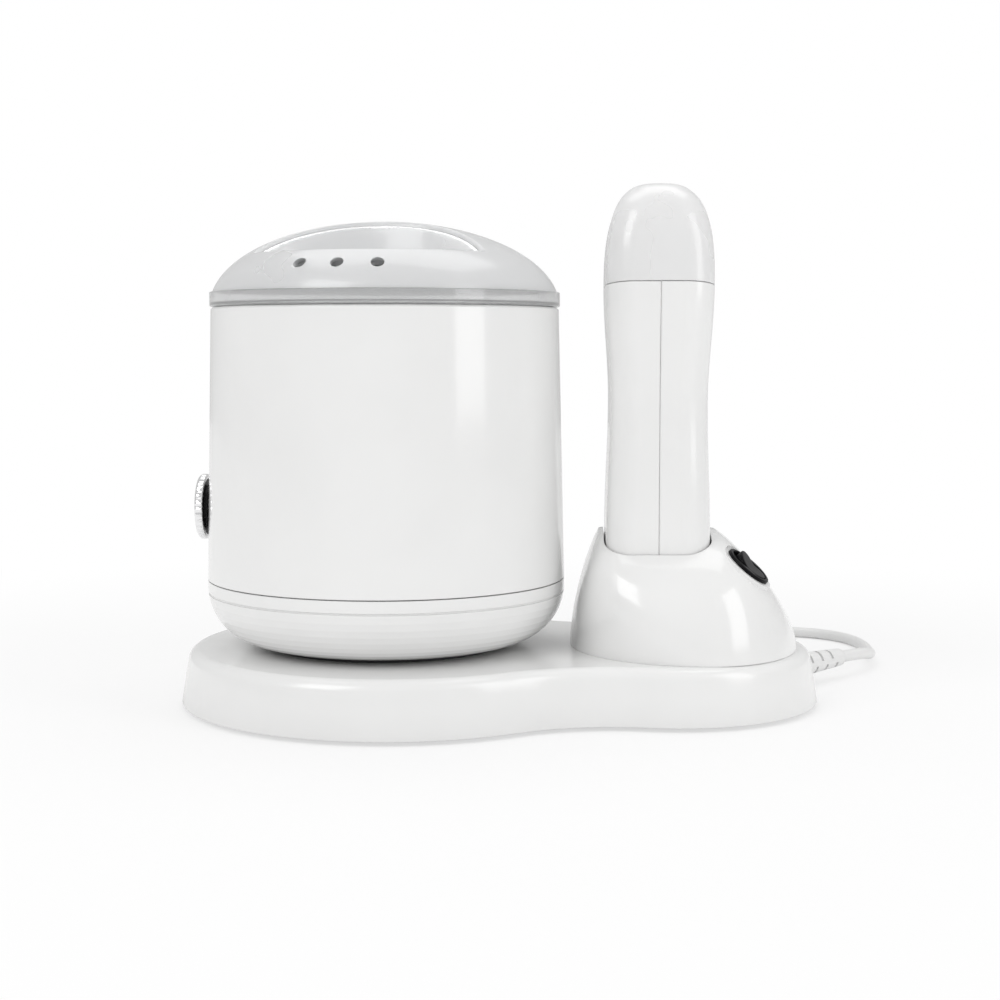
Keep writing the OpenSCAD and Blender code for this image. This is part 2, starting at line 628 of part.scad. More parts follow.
// Points of a flat outline lifted to height z, with the arch of the cap's edge scaled by bend
function lifted(pts, z, bend, half_d) = [for (p = pts) [p[0], p[1], z + cap_arch * bend * (p[1] / half_d) ^ 2]];

shell_levels = concat([0], [for (i = [0:7]) foot_len + (waist_up - foot_len) * i / 7],
  [for (i = [1:10]) waist_up + (hand_len - waist_up) * i / 10]);
function shell_bend(u) = max(0, 1 - (hand_len - u) / (hand_len - waist_up));
function shell_ring(u, inset) = let (w = hand_w_at(u), d = hand_d_at(w))
  lifted(half_rect(w - 2 * inset, d - 2 * inset, corner_at(w, inset)), u, shell_bend(u), d / 2);

hand_screw_up = 28;
hand_screw_y = 20;
hand_in_w = hand_foot_w / 2 - hand_wall;
module shell_half() {
  half_wall([for (u = shell_levels) shell_ring(u, 0)], [for (u = shell_levels) shell_ring(u, hand_wall)]);
  difference() {
    linear_extrude(floor_t) polygon(half_rect(hand_foot_w - hand_wall, hand_foot_d - hand_wall,
      hand_corner_r - hand_wall / 2));
    for (y = [-contact_y, contact_y]) translate([0, y, -e]) cylinder(h = floor_t + 2 * e, r = contact_r + 0.8);
  }
}

module handset_shell_left() color("white") translate([hand_x, 0, hand_z]) difference() {
  union() {
    shell_half();
    for (y = [-hand_screw_y, hand_screw_y]) translate([-hand_in_w - 1, y, hand_screw_up])
      rotate([0, 90, 0]) cylinder(h = hand_in_w + 1, r = boss_r);
  }
  for (y = [-hand_screw_y, hand_screw_y]) translate([-hand_foot_w / 2 - 1, y, hand_screw_up])
    rotate([0, 90, 0]) {
      cylinder(h = hand_foot_w, r = screw_r + 0.2);
      cylinder(h = 1 + head_h + 0.4, r = head_r + 0.2);
    }
}

window_w = 13;
window_len = 52;
window_up = waist_up - 6;
// Round-ended upright slot through the +X wall, grown by grow, from depth x0 to x1
module window_slot(grow, x0, x1) translate([x0, 0, window_up]) rotate([90, 0, 90])
  linear_extrude(x1 - x0) polygon(round_rect(window_w + 2 * grow, window_len + 2 * grow, window_w / 2 + grow - 0.01));

module handset_shell_right() color("white") translate([hand_x, 0, hand_z]) difference() {
  union() {
    mirror([1, 0, 0]) shell_half();
    for (y = [-hand_screw_y, hand_screw_y]) translate([0, y, hand_screw_up])
      rotate([0, 90, 0]) cylinder(h = hand_in_w + 1, r = boss_r);
  }
  for (y = [-hand_screw_y, hand_screw_y]) translate([-e, y, hand_screw_up])
    rotate([0, 90, 0]) cylinder(h = 12, r = screw_r + 0.02);
  window_slot(0, hand_waist_w / 2 - hand_wall - 2, hand_w / 2 + 1);
}

module level_window() color("lightblue") translate([hand_x, 0, hand_z])
  window_slot(-0.1, hand_waist_w / 2 - hand_wall, hand_waist_w / 2 - 0.2);

module handset_screws() color("silver") for (y = [-hand_screw_y, hand_screw_y])
  translate([hand_x - hand_foot_w / 2 + 0.4, y, hand_z + hand_screw_up]) rotate([0, 90, 0]) {
    cylinder(h = head_h, r = head_r);
    cylinder(h = hand_foot_w / 2 + 9, r = screw_r);
  }

module handset_contacts() color("gold") for (y = [-contact_y, contact_y])
  translate([hand_x, y, hand_z + floor_t]) cylinder(h = 1.2, r = contact_r + 2.5);

// The collar fills the shells' mouth, guides the cartridge and holds the cap's rim
collar_w = hand_w - 2 * hand_wall - 0.6;
collar_d = hand_d - 2 * hand_wall - 0.6;
collar_r = hand_corner_r - hand_wall;
mouth_w = tank_w + 1.6;
mouth_d = tank_d + 1.6;
tank_r = 6;
clip_w = 19.4;
module handset_collar() color("gainsboro") translate([hand_x, 0, cap_z]) difference() {
  union() {
    translate([0, 0, -5]) linear_extrude(6) polygon(round_rect(collar_w, collar_d, collar_r));
    linear_extrude(4) polygon(round_rect(collar_w, collar_d, collar_r));
    intersection() {
      linear_extrude(8.2) polygon(round_rect(collar_w, collar_d, collar_r));
      translate([-clip_w / 2, -hand_d, 0]) cube([clip_w, 2 * hand_d, 20]);
    }
  }
  translate([0, 0, -10]) linear_extrude(30) polygon(round_rect(mouth_w, mouth_d, tank_r + 0.8));
  translate([0, 0, 1]) linear_extrude(30)
    polygon(round_rect(collar_w - 3.6, collar_d - 3.6, collar_r - 1.8));
}

sleeve_w = tank_w + 2 * sleeve_gap + 2 * sleeve_t;
sleeve_d = tank_d + 2 * sleeve_gap + 2 * sleeve_t;
module heater_sleeve() color("silver") translate([hand_x, 0, sleeve_z]) difference() {
  linear_extrude(tank_len - 4) polygon(round_rect(sleeve_w, sleeve_d, tank_r + 2));
  translate([0, 0, sleeve_t]) linear_extrude(tank_len)
    polygon(round_rect(sleeve_w - 2 * sleeve_t, sleeve_d - 2 * sleeve_t, tank_r + 0.5));
}

frame_w = hand_waist_w - 2 * hand_wall - 0.2;
module sleeve_frame() color("dimgray") translate([hand_x, 0, hand_z + waist_up - 3]) linear_extrude(6)
  difference() {
    polygon(round_rect(frame_w, hand_d_at(hand_waist_w) - 2 * hand_wall - 0.2, collar_r));
    polygon(round_rect(sleeve_w, sleeve_d, tank_r + 2));
  }

module sleeve_heaters() color("orange") for (s = [0, 180])
  translate([hand_x, 0, sleeve_z + 6]) rotate([0, 0, s]) translate([sleeve_w / 2, -18, 0]) cube([1, 36, 36]);

module cartridge_tank() color("gold") translate([hand_x, 0, tank_z]) linear_extrude(tank_len)
  polygon(round_rect(tank_w, tank_d, tank_r));

cheek_t = 3;
module cartridge_head() color("white") translate([hand_x, 0, tank_top]) difference() {
  union() {
    linear_extrude(5) polygon(round_rect(tank_w - 1, tank_d - 1, tank_r - 0.5));
    translate([-11, -roller_len / 2 + 1, 5 - e]) cube([22, roller_len - 2, 9]);
    for (s = [-1, 1]) translate([0, s * (roller_len / 2 + 0.4 + cheek_t / 2), 0]) {
      translate([-7, -cheek_t / 2, 4]) cube([14, cheek_t, 22]);
      translate([0, cheek_t / 2, 26]) rotate([90, 0, 0]) cylinder(h = cheek_t, r = 7);
    }
  }
  translate([0, roller_len, 26]) rotate([90, 0, 0]) cylinder(h = 2 * roller_len, r = pin_r + slip);
  translate([0, roller_len / 2, 26]) rotate([90, 0, 0]) cylinder(h = roller_len, r = roller_r + 0.4);
}

module roller() color("white") translate([hand_x, 0, roller_z]) rotate([90, 0, 0]) {
  cylinder(h = roller_len, r = roller_r, center = true);
  cylinder(h = roller_len + 2 * cheek_t + 0.6, r = pin_r, center = true);
}

cap_steps = 14;
function cap_ring(t, inset, top) = let (w = cap_w_at(t), d = hand_d_at(w))
  lifted(round_rect(w - 2 * inset, d - 2 * inset, corner_at(w, inset)), t * top, 1 - t, d / 2);
function cap_rings(inset) = [for (i = [0:cap_steps]) let (t = 0.995 * sin(90 * i / cap_steps))
  cap_ring(t, inset, cap_h - inset)];
module handset_cap() color("whitesmoke") translate([hand_x, 0, cap_z + rest_gap])
  hood(cap_rings(0), cap_rings(cap_wall));

// Strain relief: a tapered sleeve with slots on alternate sides, and a flange inside the wall
module strain_relief() color("white") along_relief() {
  difference() {
    union() {
      translate([0, 0, -8]) cylinder(h = 8 + e, r = relief_root_d / 2);
      cylinder(h = relief_len, r1 = relief_root_d / 2, r2 = relief_tip_d / 2);
    }
    for (k = [0:6]) translate([0, 0, 8 + k * 4.4]) rotate([0, 0, k % 2 * 180])
      translate([1.2, -8, 0]) cube([8, 16, 1.6]);
  }
  translate([0, 0, -10]) cylinder(h = 2 + e, r = relief_root_d / 2 + 2);
}

// Route of the lead's free stretches, laid by hand
lead_route = [[172.5, 61.6, 10.5], [182, 71.1, 10.3], [189, 80.5, 9.4], [194, 91, 7.6], [197, 103, 5.6],
  [198.5, 116, 4], [199.5, 130, 3.3], [199, 144, 3.1], [196, 157, 3.1], [190, 169, 3.1], [181, 178, 3.1],
  [169, 184, 3.1], [155, 187.5, 3.1], [140, 189, 3.1], [125, 190, 3.1], [109, 191.2, 3.1],
  [93, 192.6, 3.1], [77, 194, 3.1], [61, 195.5, 3.1], [45, 197, 3.1], [29, 198.4, 3.2], [13, 199.6, 3.3],
  [-3, 200.5, 3.4], [-19, 201, 3.6], [-35, 201, 3.6]];
tail_route = [[-35, 201, 10.2], [-41, 200.9, 10.2], [-48, 200.2, 10.1], [-55, 198.8, 9.5], [-62, 196.8, 8.6],
  [-69, 194.8, 7.7], [-76, 193.1, 7.2], [-81, 192.3, 7], [-86, 192, 7]];

// Rings of n sides and radius r square to a route, and the tube through them
function unit(v) = v / norm(v);
function route_ring(p, t, r, n) = let (u = unit(cross([0, 0, 1], t)), v = cross(t, u))
  [for (i = [0:n - 1]) let (a = 360 * (i + 0.5) / n) p + r * (cos(a) * u + sin(a) * v)];
function route_rings(pts, r, n, t0, t1) = let (m = len(pts))
  [for (i = [0:m - 1]) route_ring(pts[i],
    i == 0 ? t0 : i == m - 1 ? t1 : unit(pts[i + 1] - pts[i - 1]), r, n)];
module tube(pts, r, n, t0, t1) skin(route_rings(pts, r, n, t0, t1));

module cord() color("white") tube(lead_route, lead_d / 2, 10, unit([1, 1, 0]), [-1, 0, 0]);
module cord_tail() color("white") tube(tail_route, lead_d / 2, 10, [-1, 0, 0], [-1, 0, 0]);

// Coil: two layers that spiral in, climb over half a turn and spiral out again
coil_x = -35;
coil_y = 158;
coil_out_r = 43;
coil_pitch = 6.6;
coil_turns = 2.25;
coil_low_z = 3.6;
coil_high_z = 10.2;
loop_rings = 24;
coil_in_r = coil_out_r - coil_turns * coil_pitch;
coil_n = (2 * coil_turns + 0.5) * loop_rings;
function coil_point(s) = let (
  up = min(max(s - coil_turns, 0), 0.5) * 2,
  r = s < coil_turns ? coil_out_r - coil_pitch * s
    : s < coil_turns + 0.5 ? coil_in_r - 1.5 * sin(180 * up)
    : coil_in_r + coil_pitch * (s - coil_turns - 0.5),
  a = 90 + 360 * s)
  [coil_x + r * cos(a), coil_y + r * sin(a), coil_low_z + (coil_high_z - coil_low_z) * smooth(up)];
coil_route = [for (i = [0:coil_n]) coil_point(i / loop_rings)];
coil_gap = min([for (i = [0:coil_n - 12], j = [i + 12:coil_n]) norm(coil_route[i] - coil_route[j])]) - lead_d;
echo(coil_gap = coil_gap);
module cord_coil() color("white") tube(coil_route, lead_d / 2, 6, [-1, 0, 0], [-1, 0, 0]);

module coil_tie() color("white") translate([coil_x, coil_y, 0]) difference() {
  translate([23.8, -2.5, 0.05]) cube([21.8, 5, 14.2]);
  translate([24.6, -3, 0.55]) cube([20.2, 6, 13]);
}

plug_at = tail_route[len(tail_route) - 1];
plug_len = 36;
plug_t = 13.6;
plug_neck = 14;
module at_plug() { translate(plug_at) rotate([0, 0, 180]) children(); }
module plug_body() color("white") at_plug() {
  rotate([0, 90, 0]) cylinder(h = plug_neck + e, r1 = lead_d / 2 + 1.2, r2 = plug_t / 2 - 0.8);
  intersection() {
    translate([plug_neck, 0, -plug_t / 2]) linear_extrude(plug_t)
      polygon([[0, -6.5], [0, 6.5], [9, 10], [20, 17.2], [23, 17.7], [plug_len, 17.7],
        [plug_len, -17.7], [23, -17.7], [20, -17.2], [9, -10]]);
    translate([0, 20, 0]) rotate([90, 0, 0]) linear_extrude(40)
      polygon([[plug_neck, -5.6], [plug_neck + 8, -6], [plug_neck + 18, -plug_t / 2], [plug_neck + plug_len, -plug_t / 2],
        [plug_neck + plug_len, plug_t / 2], [plug_neck + 18, plug_t / 2], [plug_neck + 8, 6], [plug_neck, 5.6]]);
  }
}
module plug_pins() color("silver") at_plug() for (s = [-1, 1])
  translate([plug_neck + plug_len, s * plug_pitch / 2, 0]) rotate([0, 90, 0])
    cylinder(h = 19, r = plug_pin_d / 2);

base_cover();
base_plate();
rubber_feet();
plate_screws();
terminal_block();
pot_seat_ring();
pot_screws();
pot_bottom_shell();
pot_housing();
heating_well();
band_heater();
insulation_wrap();
thermal_cutout();
thermostat();
control_shaft();
knob_hub();
knob_ring();
knob_face();
wax_tin();
lid_rim();
lid_dome();
dock_housing();
dock_cup();
dock_contacts();
switch_body();
switch_terminals();
rocker();
handset_shell_left();
handset_shell_right();
level_window();
handset_collar();
handset_screws();
handset_contacts();
heater_sleeve();
sleeve_frame();
sleeve_heaters();
cartridge_tank();
cartridge_head();
roller();
handset_cap();
strain_relief();
cord();
cord_coil();
cord_tail();
coil_tie();
plug_body();
plug_pins();
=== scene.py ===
"""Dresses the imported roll-on wax heater: shells, plastics, metals, mains lead and studio."""

import json
import math

import bmesh
import bpy
from bpy.props import (
    FloatProperty,
    FloatVectorProperty,
    PointerProperty,
)
from mathutils import Matrix, Vector


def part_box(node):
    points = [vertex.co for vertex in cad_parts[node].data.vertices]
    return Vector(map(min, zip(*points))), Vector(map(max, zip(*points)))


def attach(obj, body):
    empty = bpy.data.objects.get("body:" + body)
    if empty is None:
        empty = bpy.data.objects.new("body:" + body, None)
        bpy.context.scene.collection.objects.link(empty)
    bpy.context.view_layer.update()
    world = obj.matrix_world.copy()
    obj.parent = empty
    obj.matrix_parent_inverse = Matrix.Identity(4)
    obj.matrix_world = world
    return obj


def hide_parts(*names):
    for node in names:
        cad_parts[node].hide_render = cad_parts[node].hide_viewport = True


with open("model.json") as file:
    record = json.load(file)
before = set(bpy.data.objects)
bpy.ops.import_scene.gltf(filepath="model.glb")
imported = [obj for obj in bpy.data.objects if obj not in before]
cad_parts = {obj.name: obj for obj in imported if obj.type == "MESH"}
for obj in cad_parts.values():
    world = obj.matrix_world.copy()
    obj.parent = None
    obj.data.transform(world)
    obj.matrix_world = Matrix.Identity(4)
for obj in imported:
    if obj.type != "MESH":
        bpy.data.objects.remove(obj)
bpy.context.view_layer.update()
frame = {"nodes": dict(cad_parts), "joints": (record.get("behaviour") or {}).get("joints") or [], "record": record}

bl_info = {
    "name": "Roll-on wax heater",
    "version": (1, 0, 0),
    "blender": (4, 5, 0),
    "location": "View3D > Sidebar > Wax heater",
    "description": "Finishes the wax heater with its dock, handset and mains lead",
    "category": "Object",
}

MM = 0.001


# ---------------- values that a user would change


def colour(name, description, default):
    """Colour that a user can change."""
    return FloatVectorProperty(
        name=name,
        description=description,
        subtype="COLOR",
        default=default,
        min=0,
        max=1,
    )


class HeaterFinish(bpy.types.PropertyGroup):
    """Colours of the heater's plastics and metals."""

    shell_color: colour(
        "Shell colour", "White of the pot, dock, base and handset", (0.84, 0.84, 0.835)
    )
    lid_color: colour("Lid colour", "Tint of the frosted lid", (0.88, 0.885, 0.89))
    cap_color: colour("Cap colour", "Tint of the milky handset cap", (0.95, 0.95, 0.95))
    switch_color: colour(
        "Switch colour",
        "Black of the rocker switch and the knob's hub",
        (0.006, 0.006, 0.007),
    )
    wax_color: colour(
        "Wax colour", "Amber of the wax in the cartridge", (0.72, 0.42, 0.12)
    )


class HeaterLead(bpy.types.PropertyGroup):
    """Mains lead."""

    diameter: FloatProperty(
        name="Lead diameter",
        description="Outer diameter of the mains lead",
        subtype="DISTANCE",
        default=6 * MM,
    )
    step: FloatProperty(
        name="Step",
        description="Distance between the points along the lead",
        subtype="DISTANCE",
        default=2.5 * MM,
    )


class HeaterStudio(bpy.types.PropertyGroup):
    """Camera and lamps."""

    camera_at: FloatVectorProperty(
        name="Camera",
        description="Place of the camera",
        subtype="TRANSLATION",
        default=(35.5 * MM, -830 * MM, 173.2 * MM),
    )
    look_at: FloatVectorProperty(
        name="Look at",
        description="Point in the middle of the picture",
        subtype="TRANSLATION",
        default=(0.4 * MM, 0, 97.6 * MM),
    )
    lens: FloatProperty(
        name="Lens", description="Focal length in millimetres", default=62.1
    )
    key_power: FloatProperty(
        name="Key lamp", description="Power of the key lamp in watts", default=6.0
    )
    fill_power: FloatProperty(
        name="Fill lamp", description="Power of the fill lamp in watts", default=3.6
    )
    world_level: FloatProperty(
        name="Room light", description="Strength of the light all round", default=0.62
    )


# ---------------- shader groups


BEVEL_SAMPLES = 6
PLASTIC_EDGE = 0.0006
PLASTIC_TONE = 0.015
METAL_EDGE = 0.0003
FINE_RELIEF = 0.00001
# near-white painted highlight for the sharp edges of metals
EDGE_HIGHLIGHT_COLOR = (0.95, 0.95, 0.95, 1)
SURFACE_OUTPUTS = [
    ("Color", "NodeSocketColor"),
    ("Roughness", "NodeSocketFloat"),
    ("Height", "NodeSocketFloat"),
]


def new_group(name, inputs, outputs):
    """Empty shader node group with the sockets asked for."""
    group = bpy.data.node_groups.new(name, "ShaderNodeTree")
    for label, kind, value in inputs:
        socket = group.interface.new_socket(label, in_out="INPUT", socket_type=kind)
        socket.default_value = value
    for label, kind in outputs:
        group.interface.new_socket(label, in_out="OUTPUT", socket_type=kind)
    start = group.nodes.new("NodeGroupInput")
    end = group.nodes.new("NodeGroupOutput")
    return group, start, end


def feed(socket, given):
    """Links an output to a socket, or sets the socket's own value."""
    if hasattr(given, "is_linked"):
        socket.id_data.links.new(given, socket)
    else:
        socket.default_value = given


def math_node(tree, operation, a, b, clamp=False):
    node = tree.nodes.new("ShaderNodeMath")
    node.operation = operation
    node.use_clamp = clamp
    feed(node.inputs[0], a)
    feed(node.inputs[1], b)
    return node.outputs[0]


def vector_node(tree, operation, a, b=None):
    node = tree.nodes.new("ShaderNodeVectorMath")
    node.operation = operation
    feed(node.inputs[0], a)
    if b is not None:
        feed(node.inputs[1], b)
    return node


def noise(tree, vector, scale, detail=2):
    node = tree.nodes.new("ShaderNodeTexNoise")
    feed(node.inputs["Vector"], vector)
    feed(node.inputs["Scale"], scale)
    feed(node.inputs["Detail"], detail)
    return node.outputs[0]


def map_range(tree, value, low, high, to_low, to_high):
    """Value moved to a new range, easing at both ends."""
    node = tree.nodes.new("ShaderNodeMapRange")
    node.interpolation_type = "SMOOTHSTEP"
    for socket, given in zip(node.inputs, (value, low, high, to_low, to_high)):
        feed(socket, given)
    return node.outputs[0]


def mixed_color(tree, factor, a, b):
    node = tree.nodes.new("ShaderNodeMix")
    node.data_type = "RGBA"
    feed(node.inputs[0], factor)
    # sockets 6 and 7 are the two colours of this node
    feed(node.inputs[6], a)
    feed(node.inputs[7], b)
    return node.outputs[2]


def mix_shaders(tree, share, a, b, out):
    """Mix of two shaders, fed to the output node's surface."""
    mix = tree.nodes.new("ShaderNodeMixShader")
    for socket, given in zip(mix.inputs, (share, a.outputs[0], b.outputs[0])):
        feed(socket, given)
    feed(out.inputs["Surface"], mix.outputs[0])


def group_ends(group, start, end, tone, spread, height):
    """Brings a surface group's colour, roughness and height to its outputs."""
    bright = group.nodes.new("ShaderNodeHueSaturation")
    feed(bright.inputs["Value"], math_node(group, "ADD", tone, 1))
    feed(bright.inputs["Color"], start.outputs["Color"])
    feed(end.inputs["Color"], bright.outputs[0])
    rough = math_node(group, "ADD", spread, start.outputs["Roughness"], clamp=True)
    feed(end.inputs["Roughness"], rough)
    feed(end.inputs["Height"], height)


def moulded_group():
    """Moulded plastic: cloudy tone, uneven polish and a fine orange-peel grain."""
    group, start, end = new_group(
        "moulded_surface",
        [
            ("Color", "NodeSocketColor", (0.8, 0.8, 0.8, 1)),
            ("Tone", "NodeSocketFloat", 0.02),
            ("Roughness", "NodeSocketFloat", 0.2),
            ("Polish spread", "NodeSocketFloat", 0.05),
            ("Grain scale", "NodeSocketFloat", 1500),
        ],
        SURFACE_OUTPUTS,
    )
    place = group.nodes.new("ShaderNodeTexCoord").outputs["Object"]
    swing = map_range(group, noise(group, place, 22, 3), 0.2, 0.8, -1, 1)
    tone = math_node(group, "MULTIPLY", swing, start.outputs["Tone"])
    spread = math_node(group, "MULTIPLY", swing, start.outputs["Polish spread"])
    grain = noise(group, place, start.outputs["Grain scale"])
    group_ends(group, start, end, tone, spread, grain)
    return group


def bevel_and_highlight_group():
    """Mask of the painted edge highlight, 1 on the sharp corners of a piece and broken up by noise, with the
    edges' softened normal.
    """
    group, start, end = new_group(
        "bevel_and_edge_highlight",
        [("Width", "NodeSocketFloat", 0.001), ("Amount", "NodeSocketFloat", 0.5)],
        [("Mask", "NodeSocketFloat"), ("Normal", "NodeSocketVector")],
    )
    soft = group.nodes.new("ShaderNodeBevel")
    soft.samples = BEVEL_SAMPLES
    feed(soft.inputs["Radius"], start.outputs["Width"])
    flat = group.nodes.new("ShaderNodeNewGeometry").outputs["Normal"]
    bend = vector_node(group, "DOT_PRODUCT", soft.outputs[0], flat).outputs["Value"]
    edge = map_range(group, bend, 0.99, 0.85, 0, 1)
    place = group.nodes.new("ShaderNodeTexCoord").outputs["Object"]
    broken = map_range(group, noise(group, place, 260), 0.4, 0.6, 0, 1)
    mask = math_node(group, "MULTIPLY", edge, broken)
    amount = math_node(group, "MULTIPLY", mask, start.outputs["Amount"], clamp=True)
    feed(end.inputs["Mask"], amount)
    feed(end.inputs["Normal"], soft.outputs[0])
    return group


def metal_group():
    """Drawn or brushed metal: fine lines along an axis and a cloudy tone."""
    group, start, end = new_group(
        "drawn_metal",
        [
            ("Color", "NodeSocketColor", (0.8, 0.8, 0.8, 1)),
            ("Roughness", "NodeSocketFloat", 0.3),
            ("Line spread", "NodeSocketFloat", 0.08),
            ("Stretch", "NodeSocketVector", (60, 60, 2500)),
        ],
        SURFACE_OUTPUTS,
    )
    place = group.nodes.new("ShaderNodeTexCoord").outputs["Object"]
    drawn = vector_node(group, "MULTIPLY", place, start.outputs["Stretch"])
    lines = noise(group, drawn.outputs[0], 1, 3)
    swing = map_range(group, lines, 0.3, 0.7, -1, 1)
    spread = math_node(group, "MULTIPLY", swing, start.outputs["Line spread"])
    tone = math_node(group, "MULTIPLY", spread, 0.5)
    group_ends(group, start, end, tone, spread, lines)
    return group


GROUPS = {}
MATERIALS = {}


def set_inputs(node, values):
    """Sets a node's sockets by their names, written with _ for a space."""
    for label, value in values.items():
        node.inputs[label.replace("_", " ")].default_value = value


def placed_group(tree, name, **values):
    node = tree.nodes.new("ShaderNodeGroup")
    node.node_tree = GROUPS[name]
    set_inputs(node, values)
    return node


def rgba(color):
    return (*tuple(color)[:3], 1)


def surfaced(name, surface_name, edge, depth, highlight_edges, **values):
    """Material of a surface group, with softened edges and its relief; its shader."""
    material = bpy.data.materials.new(name)
    material.use_nodes = True
    MATERIALS[name] = material
    tree = material.node_tree
    shader = tree.nodes["Principled BSDF"]
    surface = placed_group(tree, surface_name, **values)
    bevel_highlight = placed_group(tree, "bevel_and_edge_highlight", Width=edge)
    finish = surface.outputs["Color"]
    # metals get a near-white painted highlight mixed into their sharp edges
    if highlight_edges:
        finish = mixed_color(tree, bevel_highlight.outputs["Mask"], finish, EDGE_HIGHLIGHT_COLOR)
    feed(shader.inputs["Base Color"], finish)
    feed(shader.inputs["Roughness"], surface.outputs["Roughness"])
    bump = tree.nodes.new("ShaderNodeBump")
    bump.inputs["Distance"].default_value = depth
    feed(bump.inputs["Height"], surface.outputs["Height"])
    feed(bump.inputs["Normal"], bevel_highlight.outputs["Normal"])
    feed(shader.inputs["Normal"], bump.outputs[0])
    return shader


def plastic(
    name, color, roughness, spread=0.03, grain=1500, depth=FINE_RELIEF, **sockets
):
    """Moulded plastic with softened edges; sockets are set on the shader itself."""
    shader = surfaced(
        name,
        "moulded_surface",
        PLASTIC_EDGE,
        depth,
        False,
        Color=rgba(color),
        Tone=PLASTIC_TONE,
        Roughness=roughness,
        Polish_spread=spread,
        Grain_scale=grain,
    )
    set_inputs(shader, sockets)


def metal(name, color, roughness, spread=0.08):
    """Bare metal with fine lines and a painted highlight on its sharp edges."""
    shader = surfaced(
        name,
        "drawn_metal",
        METAL_EDGE,
        FINE_RELIEF,
        True,
        Color=rgba(color),
        Roughness=roughness,
        Line_spread=spread,
    )
    shader.inputs["Metallic"].default_value = 1


def make_materials(look):
    """Finish of each material slot of the record."""
    GROUPS["moulded_surface"] = moulded_group()
    GROUPS["bevel_and_edge_highlight"] = bevel_and_highlight_group()
    GROUPS["drawn_metal"] = metal_group()
    shell = tuple(look.shell_color)
    plastic("white_shell", shell, 0.16, Coat_Weight=0.4, Coat_Roughness=0.08)
    plastic("base_white", shell, 0.2, Coat_Weight=0.3, Coat_Roughness=0.1)
    plastic("bottom_plate", (0.7, 0.7, 0.69), 0.5, depth=0.00004, grain=900)
    plastic("foot_rubber", (0.05, 0.05, 0.052), 0.75, depth=0.00004)
    metal("steel_screw", (0.62, 0.62, 0.63), 0.3)
    plastic("terminal_white", (0.74, 0.71, 0.62), 0.45)
    metal("aluminium_cup", (0.74, 0.75, 0.76), 0.32)
    metal("mica_band", (0.42, 0.33, 0.2), 0.5)
    plastic("glass_mat", (0.78, 0.74, 0.6), 0.85, grain=700, depth=0.0003)
    plastic("knob_black", tuple(look.switch_color), 0.4, Specular_IOR_Level=0.25)
    metal("knob_chrome", (0.88, 0.88, 0.885), 0.14, 0.03)
    plastic(
        "lid_clear",
        (0.96, 0.962, 0.965),
        0.06,
        0.02,
        Transmission_Weight=0.75,
        IOR=1.49,
    )
    plastic(
        "lid_frosted",
        tuple(look.lid_color),
        0.3,
        Transmission_Weight=0.35,
        IOR=1.49,
        Coat_Weight=0.5,
        Coat_Roughness=0.06,
    )
    plastic(
        "cap_clear",
        tuple(look.cap_color),
        0.28,
        Transmission_Weight=0.22,
        IOR=1.49,
        Coat_Weight=0.4,
        Coat_Roughness=0.08,
    )
    plastic("switch_black", tuple(look.switch_color), 0.35, Specular_IOR_Level=0.08)
    metal("contact_brass", (0.78, 0.6, 0.28), 0.28)
    plastic(
        "window_clear", (0.86, 0.9, 0.93), 0.05, 0.01, Transmission_Weight=0.8, IOR=1.49
    )
    plastic("collar_grey", (0.8, 0.8, 0.8), 0.4)
    plastic("heater_orange", (0.6, 0.3, 0.08), 0.4)
    plastic("wax_amber", tuple(look.wax_color), 0.2, Subsurface_Weight=0.3)
    plastic("roller_white", (0.84, 0.84, 0.83), 0.25)
    plastic("lead_white", (0.82, 0.82, 0.815), 0.38, grain=2600, depth=0.00002)
    plastic("plug_white", (0.83, 0.83, 0.825), 0.35, grain=2000, depth=0.00002)
    metal("tin_aluminium", (0.8, 0.8, 0.81), 0.25)


def dress_nodes():
    """Every CAD node takes the finish of its slot."""
    for entry in frame["record"]["subparts"]:
        node = frame["nodes"].get(entry["node"])
        if node is None:
            continue
        node.data.materials.clear()
        node.data.materials.append(MATERIALS[entry["material_slot"]])


# ---------------- mesh helpers


def face_outwards(mesh, weld=0.0):
    """Turns a mesh's faces outwards, first joining points closer than weld."""
    edit = bmesh.new()
    edit.from_mesh(mesh)
    if weld:
        bmesh.ops.remove_doubles(edit, verts=edit.verts, dist=weld)
    bmesh.ops.recalc_face_normals(edit, faces=edit.faces)
    edit.to_mesh(mesh)
    edit.free()


def shade(mesh, angle):
    """Smooth shading with sharp edges above an angle in degrees."""
    mesh.shade_smooth()
    mesh.set_sharp_from_angle(angle=math.radians(angle))


def new_piece(name, points, faces, slot, body, nodes=(), angle=40):
    """Mesh piece on a body, in the finish of a slot, standing for nodes."""
    mesh = bpy.data.meshes.new(name)
    mesh.from_pydata(points, [], faces)
    mesh.validate()
    face_outwards(mesh)
    shade(mesh, angle)
    piece = bpy.data.objects.new(name, mesh)
    bpy.context.scene.collection.objects.link(piece)
    mesh.materials.append(MATERIALS[slot])
    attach(piece, body)
    if nodes:
        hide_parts(*nodes)
    return piece


def plain_object(name, points, faces):
    mesh = bpy.data.meshes.new(name)
    mesh.from_pydata(points, [], faces)
    face_outwards(mesh)
    made = bpy.data.objects.new(name, mesh)
    bpy.context.scene.collection.objects.link(made)
    return made


def combine(piece, other, operation="DIFFERENCE"):
    """Takes another object out of a piece, or joins it on; the other goes."""
    step = piece.modifiers.new("combine", "BOOLEAN")
    step.operation = operation
    step.solver = "EXACT"
    step.object = other
    bpy.context.view_layer.update()
    shown = piece.evaluated_get(bpy.context.evaluated_depsgraph_get())
    mesh = bpy.data.meshes.new_from_object(shown)
    piece.modifiers.clear()
    piece.data = mesh
    bpy.data.objects.remove(other)


# ---------------- shells of the pot and its lid


